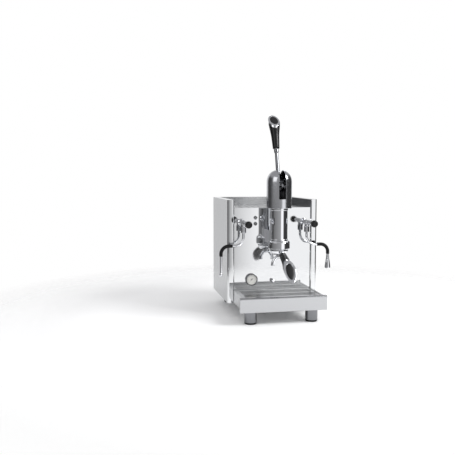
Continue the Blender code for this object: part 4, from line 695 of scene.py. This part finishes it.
# The spout: a boss under the bowl and two horns that curve down.
across = Vector((1, 0, 0))
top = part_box("portafilter_spout")[1].z
outline = [(0, top - 12 * MM), (9 * MM, top - 12 * MM, 3 * MM), (9 * MM, top), (0, top)]
spout = turned("filter_holder_spout", outline, 0.5 * MM, CHROME, group, steps=64)
root = group + Vector((0, 0, top - 7 * MM))
horn_reach, horn_drop, horn_radius = 21 * MM, 30 * MM, 6 * MM
for spout_side in (-1, 1):
    points = [root - across * spout_side * 3 * MM]
    for step in range(19):
        angle = math.pi / 2 * step / 18
        drop = Vector((0, 0, horn_drop * (1 - math.cos(angle))))
        points.append(root + across * spout_side * horn_reach * math.sin(angle) - drop)
    carved(spout, swept(points, [horn_radius] * len(points)), operation="UNION")
    mouth = [(0, -8 * MM), (4.8 * MM, -8 * MM), (4.8 * MM, 5 * MM), (0, 5 * MM)]
    carved(spout, lathe(mouth, points[-1], steps=32))
settle(spout, "filter_holder", "chrome", "portafilter_spout")

basket = softened("coffee_basket", "filter_basket", 0.2 * MM, STEEL_BRUSHED_Z, segments=1)
settle(basket, "filter_holder", "brushed_steel", "filter_basket")

# ---------------------------------------------------------------- Valves, knobs and nuts
# Turned and chromed valve bodies through the front panel, each with a branch down to the wand's
# hexagonal nut, and a round black knob on its spindle.

panel_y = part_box("front_panel")[0].y


def on_panel(low, high):
    """Where the axis of a fitting meets the front panel's face."""
    return Vector(((low.x + high.x) / 2, panel_y, (low.z + high.z) / 2))


for name in ("water", "steam"):
    valve_low, valve_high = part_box(name + "_valve")
    knob_low, knob_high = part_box(name + "_knob")
    nut_low, nut_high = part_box(name + "_wand_nut")
    centre = on_panel(knob_low, knob_high)
    reach, behind = panel_y - valve_low.y, valve_high.y - panel_y
    outline = [
        (0, -behind), (8.5 * MM, -behind), (8.5 * MM, 0.3 * MM), (12.5 * MM, 0.3 * MM),
        (12.5 * MM, 3 * MM), (9 * MM, 5.5 * MM), (8 * MM, 9 * MM), (8 * MM, 19 * MM),
        (8.5 * MM, 21 * MM), (8.5 * MM, 50 * MM), (7.6 * MM, 52 * MM), (7.6 * MM, 60 * MM),
        (8.5 * MM, 62 * MM), (8.5 * MM, 73 * MM), (6.5 * MM, 76 * MM), (6.5 * MM, reach),
        (0, reach),
    ]
    valve = turned(name + "_valve_body", outline, 0.6 * MM, CHROME, centre, "-Y")
    nut_middle = Vector((centre.x, (nut_low.y + nut_high.y) / 2, 0))
    outline = [(0, valve_low.z), (8 * MM, valve_low.z), (8 * MM, centre.z - 6 * MM)]
    outline += [(7 * MM, centre.z), (0, centre.z)]
    carved(valve, lathe(filleted(outline, 0.5 * MM), nut_middle), operation="UNION")
    spindle_bore = [(0, reach - 14 * MM), (3.8 * MM, reach - 14 * MM)]
    spindle_bore += [(3.8 * MM, reach + 5 * MM), (0, reach + 5 * MM)]
    carved(valve, lathe(spindle_bore, centre, "-Y", steps=32))
    settle(valve, "machine", "chrome", name + "_valve")
    face = panel_y - knob_low.y
    back = face - 19 * MM
    start = panel_y - knob_high.y
    outline = [
        (0, start), (3.5 * MM, start), (3.5 * MM, back - 3 * MM), (6 * MM, back),
        (10.2 * MM, back + 1.5 * MM, 1 * MM), (12 * MM, back + 6 * MM, 3 * MM),
        (12 * MM, face - 6 * MM, 3 * MM), (10.4 * MM, face - 1.6 * MM, 1.5 * MM),
        (7 * MM, face - 0.3 * MM, 1 * MM), (5.5 * MM, face - 0.8 * MM), (0, face - 0.8 * MM),
    ]
    knob = turned(name + "_knob_moulding", outline, 0.5 * MM, PHENOLIC, centre, "-Y", 96, corner_steps=5)
    settle(knob, name + "_knob", "black_plastic", name + "_knob")
    nut = softened(name + "_swivel_nut", name + "_wand_nut", 0.5 * MM, CHROME)
    settle(nut, "machine", "chrome", name + "_wand_nut")

# ---------------------------------------------------------------- Wands
# Bent and chromed tubes that swivel in their nuts. Each has a black rubber sleeve over its outer bend,
# and the steam wand ends in a flared frothing tip.


def bend(before, corner, after, radius, steps):
    """Points round a bend between two straight runs."""
    back, on = (Vector(before) - corner).normalized(), (Vector(after) - corner).normalized()
    half = back.angle(on) / 2
    middle = corner + (back + on).normalized() * (radius / math.sin(half))
    start = (corner + back * radius / math.tan(half) - middle).normalized()
    end = (corner + on * radius / math.tan(half) - middle).normalized()
    return [middle + start.slerp(end, step / steps) * radius for step in range(steps + 1)]


tube_radius, ball_radius, bore_radius = 4.2 * MM, 6.6 * MM, 4.5 * MM
sleeve_radius, sleeve_lip = 5.9 * MM, 5.2 * MM
wand_reach = 78 * MM
wand_level = 252 * MM
for name, side in (("water", -1), ("steam", 1)):
    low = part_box(name + "_wand")[0].z
    nut_low, nut_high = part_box(name + "_wand_nut")
    x_start = (nut_low.x + nut_high.x) / 2
    x_end = x_start + side * wand_reach
    y = (nut_low.y + nut_high.y) / 2
    ball = Vector((x_start, y, nut_low.z + 11.1 * MM))
    first, second = Vector((x_start, y, wand_level)), Vector((x_end, y, wand_level))
    end = Vector((x_end, y, low + (0 if name == "steam" else 6 * MM)))
    outer = bend(first, second, end, 27 * MM, 16)
    points = [ball] + bend(ball, first, second, 30 * MM, 16) + outer + [end]
    wand = object_from(name + "_wand_tube", swept(points, [tube_radius] * len(points)), CHROME)
    sphere = []
    for step in range(17):
        angle = math.pi * step / 16
        across = ball_radius * math.sin(angle) if 0 < step < 16 else 0
        sphere.append((across, -ball_radius * math.cos(angle)))
    carved(wand, lathe(sphere, ball, steps=32), operation="UNION")
    if name == "water":
        outline = [(0, low), (2.5 * MM, low), (3.6 * MM, low), (5.6 * MM, low + 2 * MM, 1.5 * MM)]
        outline += [(5.6 * MM, low + 10 * MM, 1.5 * MM), (4.2 * MM, low + 12.5 * MM), (0, low + 12.5 * MM)]
        carved(wand, lathe(filleted(outline, 0.4 * MM), (end.x, end.y, 0), steps=32), operation="UNION")
    settle(wand, name + "_wand", "chrome", name + "_wand")
    inward, down = Vector((-side * MM, 0, 0)), Vector((0, 0, -MM))
    middle = [outer[0] + inward * 11.5] + outer + [outer[-1] + down * 6.5]
    ends = outer[0] + inward * 13, outer[-1] + down * 8
    radii = [sleeve_lip] + [sleeve_radius] * len(middle) + [sleeve_lip]
    sleeve = object_from(name + "_wand_sleeve", swept([ends[0], *middle, ends[1]], radii), RUBBER)
    longer = [ends[0] + inward * 5, ends[0], *middle, ends[1], ends[1] + down * 5]
    carved(sleeve, swept(longer, [bore_radius] * len(longer)))
    settle(sleeve, name + "_wand", "black_rubber", name + "_wand_grip")

tip_low, tip_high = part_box("steam_tip")
tip = ((tip_low.x + tip_high.x) / 2, (tip_low.y + tip_high.y) / 2, 0)
outline = [
    (0, tip_low.z + 1.5 * MM), (1.5 * MM, tip_low.z + 1.5 * MM), (1.5 * MM, tip_low.z),
    (9 * MM, tip_low.z, 1.2 * MM), (10 * MM, tip_low.z + 2 * MM, 1 * MM),
    (9.6 * MM, tip_low.z + 12 * MM, 6 * MM), (7.6 * MM, tip_low.z + 25 * MM, 8 * MM),
    (5.6 * MM, tip_high.z - 12 * MM, 6 * MM), (5.2 * MM, tip_high.z - 3 * MM),
    (5.2 * MM, tip_high.z), (4.5 * MM, tip_high.z), (4.5 * MM, tip_high.z - 7.7 * MM),
    (0, tip_high.z - 7.7 * MM),
]
froth_tip = turned("steam_wand_tip", outline, 0.3 * MM, CHROME, tip, corner_steps=5)
settle(froth_tip, "steam_wand", "chrome", "steam_tip")

# ---------------------------------------------------------------- Pressure gauge
# A chromed case with a white dial, printed ticks, a black needle and a flat glass.

# White stove enamel on the dial: clean, with a soft sheen.
WHITE = {"Base Color": linear("#F1F0EA")}
ENAMEL = finish("white_enamel_dial", WHITE, 1.5 * MM, (0.40, 0.50), 0.01 * MM)[0]
# Black printing ink on the dial, and the same black on its needle.
INK = finish("black_dial_ink", {"Base Color": linear("#1E1F22")}, 1 * MM, (0.45, 0.60), 0.01 * MM)[0]
# Flat gauge glass.
GLASS_SOCKETS = {"Base Color": linear("#FFFFFF"), "Alpha": 0.10}
GLASS = finish("flat_gauge_glass", GLASS_SOCKETS, 8 * MM, (0.0, 0.03), 0.002 * MM)[0]
# The darker chrome of the gauge's rim and the lamps' bezels.
SMOKED_CHROME = metal("smoked_chrome_plate", "#85868A", 15 * MM, (0.05, 0.12), 0.01 * MM)

case_low, case_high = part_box("gauge_case")
gauge = on_panel(case_low, case_high)
radius = (case_high.x - case_low.x) / 2
reach, behind = panel_y - case_low.y, case_high.y - panel_y
opening = radius - 3 * MM
outline = [
    (0, -behind), (opening - 0.3 * MM, -behind), (opening - 0.3 * MM, 0.3 * MM),
    (radius, 0.3 * MM), (radius, reach - 1.2 * MM, 1.2 * MM), (radius - 1 * MM, reach, 1 * MM),
    (opening, reach - 2.2 * MM), (opening, 3 * MM), (0, 3 * MM),
]
case = turned("gauge_case_turned", outline, 0.4 * MM, SMOKED_CHROME, gauge, "-Y", 96)
settle(case, "machine", "chrome", "gauge_case")
dial_front = panel_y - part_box("gauge_dial")[0].y
outline = [(0, 3.3 * MM), (opening - 0.3 * MM, 3.3 * MM), (opening - 0.3 * MM, dial_front), (0, dial_front)]
dial = object_from("gauge_dial_plate", lathe(outline, gauge, "-Y", 96), ENAMEL)
settle(dial, "machine", "dial_white", "gauge_dial")


def start_tree(name, kinds):
    """A geometry-nodes tree with the named inputs. Returns it, its inputs' sockets and identifiers."""
    tree = bpy.data.node_groups.new(name, "GeometryNodeTree")
    face = tree.interface
    face.new_socket("Geometry", in_out="OUTPUT", socket_type="NodeSocketGeometry")
    ids = {}
    for key, kind in (kinds | {"Material": "Material"}).items():
        ids[key] = face.new_socket(key, in_out="INPUT", socket_type="NodeSocket" + kind).identifier
    return tree, node(tree, "NodeGroupInput").outputs, ids


def end_tree(tree, points, instance, turn, material):
    """Sets an instance on each point, turned, makes them real and gives them the material."""
    set_out = {"Points": points, "Instance": instance, "Rotation": turn}
    rows = node(tree, "GeometryNodeInstanceOnPoints", set_out)
    real = node(tree, "GeometryNodeRealizeInstances", {"Geometry": rows.outputs["Instances"]})
    coated = {"Geometry": real.outputs["Geometry"], "Material": material}
    done = node(tree, "GeometryNodeSetMaterial", coated)
    node(tree, "NodeGroupOutput", {"Geometry": done.outputs["Geometry"]})


def maths(tree, operation, *values):
    """One sum. Returns its result."""
    return node(tree, "ShaderNodeMath", dict(enumerate(values)), operation=operation).outputs[0]


def tick_tree():
    """Geometry nodes: bars set round an arc, from the first angle clockwise to the last."""
    kinds = {key: "Float" for key in ("Radius", "Length", "Width", "Thickness", "Start", "Sweep")}
    tree, given, ids = start_tree("dial_ticks", {"Count": "Int", **kinds})
    line = node(tree, "GeometryNodeMeshLine", {"Count": given["Count"]})
    index = node(tree, "GeometryNodeInputIndex").outputs[0]
    share = maths(tree, "DIVIDE", index, maths(tree, "SUBTRACT", given["Count"], 1.0))
    angle = maths(tree, "SUBTRACT", given["Start"], maths(tree, "MULTIPLY", share, given["Sweep"]))
    x_place = maths(tree, "MULTIPLY", maths(tree, "COSINE", angle), given["Radius"])
    z_place = maths(tree, "MULTIPLY", maths(tree, "SINE", angle), given["Radius"])
    place = node(tree, "ShaderNodeCombineXYZ", {"X": x_place, "Z": z_place})
    put = {"Geometry": line.outputs["Mesh"], "Position": place.outputs["Vector"]}
    points = node(tree, "GeometryNodeSetPosition", put)
    sizes = {"X": given["Length"], "Y": given["Thickness"], "Z": given["Width"]}
    size = node(tree, "ShaderNodeCombineXYZ", sizes)
    bar = node(tree, "GeometryNodeMeshCube", {"Size": size.outputs["Vector"]})
    spin = node(tree, "ShaderNodeCombineXYZ", {"Y": maths(tree, "MULTIPLY", angle, -1.0)})
    turn = spin.outputs["Vector"]
    end_tree(tree, points.outputs["Geometry"], bar.outputs["Mesh"], turn, given["Material"])
    return tree, ids


def grown(name, tree, ids, values):
    """Runs a geometry-nodes tree with the given values and keeps its result as a plain mesh."""
    obj = bpy.data.objects.new(name, bpy.data.meshes.new(name))
    bpy.context.scene.collection.objects.link(obj)
    modifier = obj.modifiers.new("grow", "NODES")
    modifier.node_group = tree
    for key, value in values.items():
        modifier[ids[key]] = value
    return evaluated(obj)


ticks, tick_ids = tick_tree()
mark_height = dial_front + 0.06 * MM
for name, count, length, width in (
    ("major", 7, 3.2 * MM, 0.7 * MM),
    ("minor", 31, 1.8 * MM, 0.3 * MM),
):
    values = {
        "Count": count,
        "Radius": opening - 2.2 * MM - length / 2,
        "Length": length,
        "Width": width,
        "Thickness": 0.1 * MM,
        "Start": math.radians(225),
        "Sweep": math.radians(270),
        "Material": INK,
    }
    marks = grown("gauge_ticks_" + name, ticks, tick_ids, values)
    marks.data.transform(Matrix.Translation(gauge - Vector((0, mark_height, 0))))
    settle(marks, "machine", "black_plastic")

# At rest the needle points to the first tick.
shape = bmesh.new()
needle_front = panel_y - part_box("gauge_needle")[0].y
tip_reach, tail, half_width = opening - 5 * MM, 5 * MM, 1.1 * MM
corners = [(0, tip_reach), (half_width * 0.5, 0), (half_width, -tail)]
corners += [(-half_width, -tail), (-half_width * 0.5, 0)]
face = shape.faces.new([shape.verts.new((x, y, needle_front - 0.6 * MM)) for x, y in corners])
thickened(shape, face, (0, 0, 0.5 * MM))
place = Matrix.Translation(gauge) @ TURNS["-Y"] @ Matrix.Rotation(math.radians(135), 4, "Z")
bmesh.ops.transform(shape, matrix=place, verts=shape.verts)
needle = object_from("gauge_needle_pointer", shape, INK)
hub_back = needle_front - 0.8 * MM
hub = [(0, hub_back), (2.2 * MM, hub_back), (2.2 * MM, needle_front), (0, needle_front)]
carved(needle, lathe(filleted(hub, 0.2 * MM), gauge, "-Y", 32), operation="UNION")
settle(needle, "gauge_needle", "black_plastic", "gauge_needle")
glass_low, glass_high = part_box("gauge_glass")
outline = [(0, panel_y - glass_high.y), (opening - 0.3 * MM, panel_y - glass_high.y)]
outline += [(opening - 0.3 * MM, panel_y - glass_low.y), (0, panel_y - glass_low.y)]
glass = object_from("gauge_glass_disc", lathe(outline, gauge, "-Y", 96), GLASS)
settle(glass, "machine", "gauge_glass", "gauge_glass")

# ---------------------------------------------------------------- Lamps and switch
# Two pilot lamps with chromed bezels and clear domed lenses, and a chromed push switch.

# A clear polycarbonate lens over an unlit lamp: it looks grey, and is glossy.
LENS_SOCKETS = {"Base Color": linear("#6E6F6D"), "Coat Weight": 0.8, "Coat Roughness": 0.04}
LENS = finish("moulded_clear_lens", LENS_SOCKETS, 1.2 * MM, (0.10, 0.22), 0.02 * MM)[0]
for name in ("lower", "upper"):
    low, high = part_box("lamp_" + name)
    centre = on_panel(low, high)
    radius = (high.x - low.x) / 2
    barrel = radius * 0.7
    outline = [
        (barrel - 1 * MM, 0.3 * MM), (radius, 0.3 * MM), (radius, 1.4 * MM),
        (radius - 1.2 * MM, 2.6 * MM, 0.8 * MM), (barrel - 0.6 * MM, 2.6 * MM),
        (barrel - 1 * MM, 1.8 * MM),
    ]
    bezel_name = "lamp_bezel_" + name
    bezel = turned(bezel_name, outline, 0.3 * MM, SMOKED_CHROME, centre, "-Y", closed=True)
    settle(bezel, "machine", "chrome")
    back = panel_y - high.y
    outline = [
        (0, back), (barrel, back), (barrel, 0.2 * MM), (barrel - 1.1 * MM, 0.25 * MM),
        (barrel - 1.1 * MM, 2.8 * MM, 0.8 * MM), (barrel - 2.4 * MM, 4.2 * MM, 1.2 * MM),
        (0, 4.6 * MM),
    ]
    lens = turned("lamp_lens_" + name, outline, 0.3 * MM, LENS, centre, "-Y")
    settle(lens, "machine", "lamp_lens", "lamp_" + name)

low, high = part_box("power_button")
centre = on_panel(low, high)
radius, reach, behind = (high.x - low.x) / 2, panel_y - low.y, high.y - panel_y
outline = [(0, -behind), (radius, -behind), (radius, reach - 2 * MM, 1.6 * MM)]
outline += [(radius - 2.5 * MM, reach - 0.3 * MM, 1.2 * MM), (radius - 3 * MM, reach - 0.5 * MM)]
outline += [(0, reach - 0.5 * MM)]
button = turned("power_push_button", outline, 0.4 * MM, CHROME, centre, "-Y", corner_steps=6)
settle(button, "power_button", "chrome", "power_button")

# ---------------------------------------------------------------- Inside and back
# What shows only through the slots or from below: the copper boiler, the plastic tank, the pump and the
# mains inlet. The rear panel and the fork cover are held by dome-headed screws.


def mix(tree, factor, first, second):
    """A colour between two colours."""
    inputs = {"Factor": factor, 6: first, 7: second}
    return node(tree, "ShaderNodeMix", inputs, data_type="RGBA").outputs[2]


# Drawn copper with a light brown tarnish in patches.
COPPER, patches = finish("drawn_copper", {"Metallic": 1.0}, 18 * MM, (0.25, 0.45), 0.03 * MM)
copper_tree = COPPER.node_tree
tarnish = mix(copper_tree, patches.outputs["Fac"], linear("#C98563"), linear("#9A5F45"))
copper_tree.links.new(tarnish, copper_tree.nodes["Principled BSDF"].inputs["Base Color"])
# Moulded translucent polypropylene.
TANK_SOCKETS = {"Base Color": linear("#E6EAEA"), "Transmission Weight": 0.35}
TANK_NAME = "moulded_translucent_polypropylene"
TANK_PLASTIC = finish(TANK_NAME, TANK_SOCKETS, 4 * MM, (0.40, 0.55), 0.03 * MM)[0]
boiler = softened("copper_boiler", "boiler", 0.3 * MM, COPPER, segments=1)
settle(boiler, "machine", "copper", "boiler")
tank = softened("water_tank_moulding", "water_tank", 1 * MM, TANK_PLASTIC)
settle(tank, "machine", "clear_plastic", "water_tank")
inlet = softened("mains_inlet_moulding", "mains_inlet", 0.3 * MM, PHENOLIC, segments=2)
settle(inlet, "machine", "black_plastic", "mains_inlet")
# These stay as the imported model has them, with a finish of their own.
for name, material in (
    ("heating_element", DARK_STEEL),
    ("pump", PHENOLIC),
    ("piston", DARK_STEEL),
    ("piston_seal", RUBBER),
    ("main_spring", DARK_STEEL),
    ("group_gasket", RUBBER),
    ("shower_screen", STEEL_BRUSHED_X),
):
    cad_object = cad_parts[name]
    cad_object.data.materials.clear()
    cad_object.data.materials.append(material)


def screw_tree():
    """Geometry nodes: a row of dome-headed screws. Each is a flattened ball, turned to lie on its face
    and half sunk in it."""
    kinds = {"Count": "Int", "Start": "Vector", "Step": "Vector", "Radius": "Float", "Turn": "Vector"}
    tree, given, ids = start_tree("screw_row", kinds)
    line = {"Count": given["Count"], "Start Location": given["Start"], "Offset": given["Step"]}
    row = node(tree, "GeometryNodeMeshLine", line)
    ball = node(tree, "GeometryNodeMeshUVSphere", {"Segments": 24, "Rings": 12, "Radius": given["Radius"]})
    squash = {"Geometry": ball.outputs["Mesh"], "Scale": (1.0, 1.0, 0.55)}
    flat = node(tree, "GeometryNodeTransform", squash)
    smooth = node(tree, "GeometryNodeSetShadeSmooth", {"Geometry": flat.outputs["Geometry"]})
    head = smooth.outputs["Geometry"]
    end_tree(tree, row.outputs["Mesh"], head, given["Turn"], given["Material"])
    return tree, ids


# Two rows down the rear panel, and one screw on each side of the fork cover's foot.
screws, screw_ids = screw_tree()
rear_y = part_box("rear_panel")[1].y - 1.6 * MM
upright, toward_back, toward_side = (0, 0, 95 * MM), (math.pi / 2, 0, 0), (0, math.pi / 2, 0)
cover_left = (group.x - cover_radius + 0.7 * MM, group.y, cover_low.z + 12 * MM)
cover_across = (2 * cover_radius - 1.4 * MM, 0, 0)
for name, count, start, step, turn in (
    ("rear_left", 4, (-150 * MM, rear_y, 70 * MM), upright, toward_back),
    ("rear_right", 4, (150 * MM, rear_y, 70 * MM), upright, toward_back),
    ("cover", 2, cover_left, cover_across, toward_side),
):
    values = {"Count": count, "Start": start, "Step": step, "Radius": 2.8 * MM, "Turn": turn}
    values["Material"] = CHROME
    settle(grown("screws_" + name, screws, screw_ids, values), "machine", "chrome")

# ---------------------------------------------------------------- Studio
# A pale floor, two soft lights and a grey room. The room has a bright panel ahead on the right, a
# black wall on each side and a light wall behind, which give the polished metal its bands.


def studio_world():
    """White to the camera and an even light grey to matt surfaces. Only what mirrors sees the room,
    whose walls end in an even grey above."""
    world = bpy.data.worlds.new("studio")
    world.use_nodes = True
    tree = world.node_tree
    tree.nodes.clear()
    place = node(tree, "ShaderNodeTexCoord")
    parts = node(tree, "ShaderNodeSeparateXYZ", {"Vector": place.outputs["Generated"]})
    forward = maths(tree, "MULTIPLY", parts.outputs["Y"], -1.0)
    bearing = maths(tree, "ARCTAN2", parts.outputs["X"], forward)
    turn_share = mapped(tree, bearing, -math.pi, math.pi, 0.0, 1.0)
    wall = node(tree, "ShaderNodeValToRGB", {"Fac": turn_share})
    # Each pair is a bearing in degrees, to the right of straight ahead, and how bright the wall is there.
    walls = ((-180, 0.85), (-150, 0.80), (-132, 0.06), (-96, 0.08), (-80, 0.20), (-14, 0.36), (3, 0.40))
    walls += ((10.8, 0.50), (12, 0.85), (14, 1.2), (40, 1.2), (48, 0.24), (56, 0.05), (122, 0.05))
    walls += ((140, 0.85),)
    stops = wall.color_ramp.elements
    while len(stops) < len(walls):
        stops.new(0.5)
    for stop, (degrees, value) in zip(stops, walls):
        stop.position = (degrees + 180) / 360
        stop.color = (value, value, value * 1.01, 1)
    above = mapped(tree, parts.outputs["Z"], 0.35, 0.6, 0.0, 1.0)
    room = mix(tree, above, wall.outputs["Color"], (0.42, 0.42, 0.43, 1))
    ray = node(tree, "ShaderNodeLightPath").outputs
    even = mix(tree, ray["Is Diffuse Ray"], room, (0.85, 0.85, 0.86, 1))
    seen = mix(tree, ray["Is Camera Ray"], even, (1.0, 1.0, 1.0, 1))
    background = node(tree, "ShaderNodeBackground", {"Color": seen, "Strength": 1.0})
    node(tree, "ShaderNodeOutputWorld", {"Surface": background.outputs["Background"]})
    return world


# Matt white studio floor, which fades into the white backdrop at its rim.
FLOOR_WHITE = {"Base Color": linear("#F6F6F6")}
FLOOR_PAINT = finish("matt_white_floor", FLOOR_WHITE, 40 * MM, (0.75, 0.85), 0.01 * MM)[0]
floor_tree = FLOOR_PAINT.node_tree
place = node(floor_tree, "ShaderNodeTexCoord").outputs["Object"]
reach = node(floor_tree, "ShaderNodeVectorMath", {0: place}, operation="LENGTH").outputs["Value"]
fade = mapped(floor_tree, reach, 0.55, 1.25, 1.0, 0.0, interpolation_type="SMOOTHSTEP")
floor_tree.links.new(fade, floor_tree.nodes["Principled BSDF"].inputs["Alpha"])

bpy.context.scene.world = studio_world()
bpy.context.scene.view_settings.view_transform = "Standard"
disc = lathe([(0, 0), (1.4, 0), (1.4, -1 * MM), (0, -1 * MM)], steps=64)
object_from("studio_floor", disc, FLOOR_PAINT)


def soft_light(name, place, aim, size, power):
    """A square softbox that faces a point."""
    data = bpy.data.lights.new(name, "AREA")
    data.size, data.energy = size, power
    obj = bpy.data.objects.new(name, data)
    obj.location = place
    obj.rotation_euler = (Vector(aim) - Vector(place)).to_track_quat("-Z", "Y").to_euler()
    bpy.context.scene.collection.objects.link(obj)


aim = (0, 0, 0.3)
soft_light("key_softbox", (1.8, -1.2, 2.0), aim, 1.2, 60)
soft_light("fill_softbox", (-2.0, -1.4, 1.4), aim, 1.6, 10)

# ---------------------------------------------------------------- Camera
# A little left of straight ahead and a little above level, two metres off, with a normal lens.

azimuth, elevation, distance = math.radians(-11.1), math.radians(5.0), 2.0608
level = math.cos(elevation)
back = Vector((math.sin(azimuth) * level, -math.cos(azimuth) * level, math.sin(elevation)))
camera_target = Vector((-0.162, cad_front, 0.3129))
camera_data = bpy.data.cameras.new("camera")
camera_data.lens = 47.24
camera_data.sensor_width = 36
camera_data.clip_end = 50
camera = bpy.data.objects.new("camera", camera_data)
camera.location = camera_target + back * distance
camera.rotation_euler = (-back).to_track_quat("-Z", "Y").to_euler()
bpy.context.scene.collection.objects.link(camera)
bpy.context.scene.camera = camera
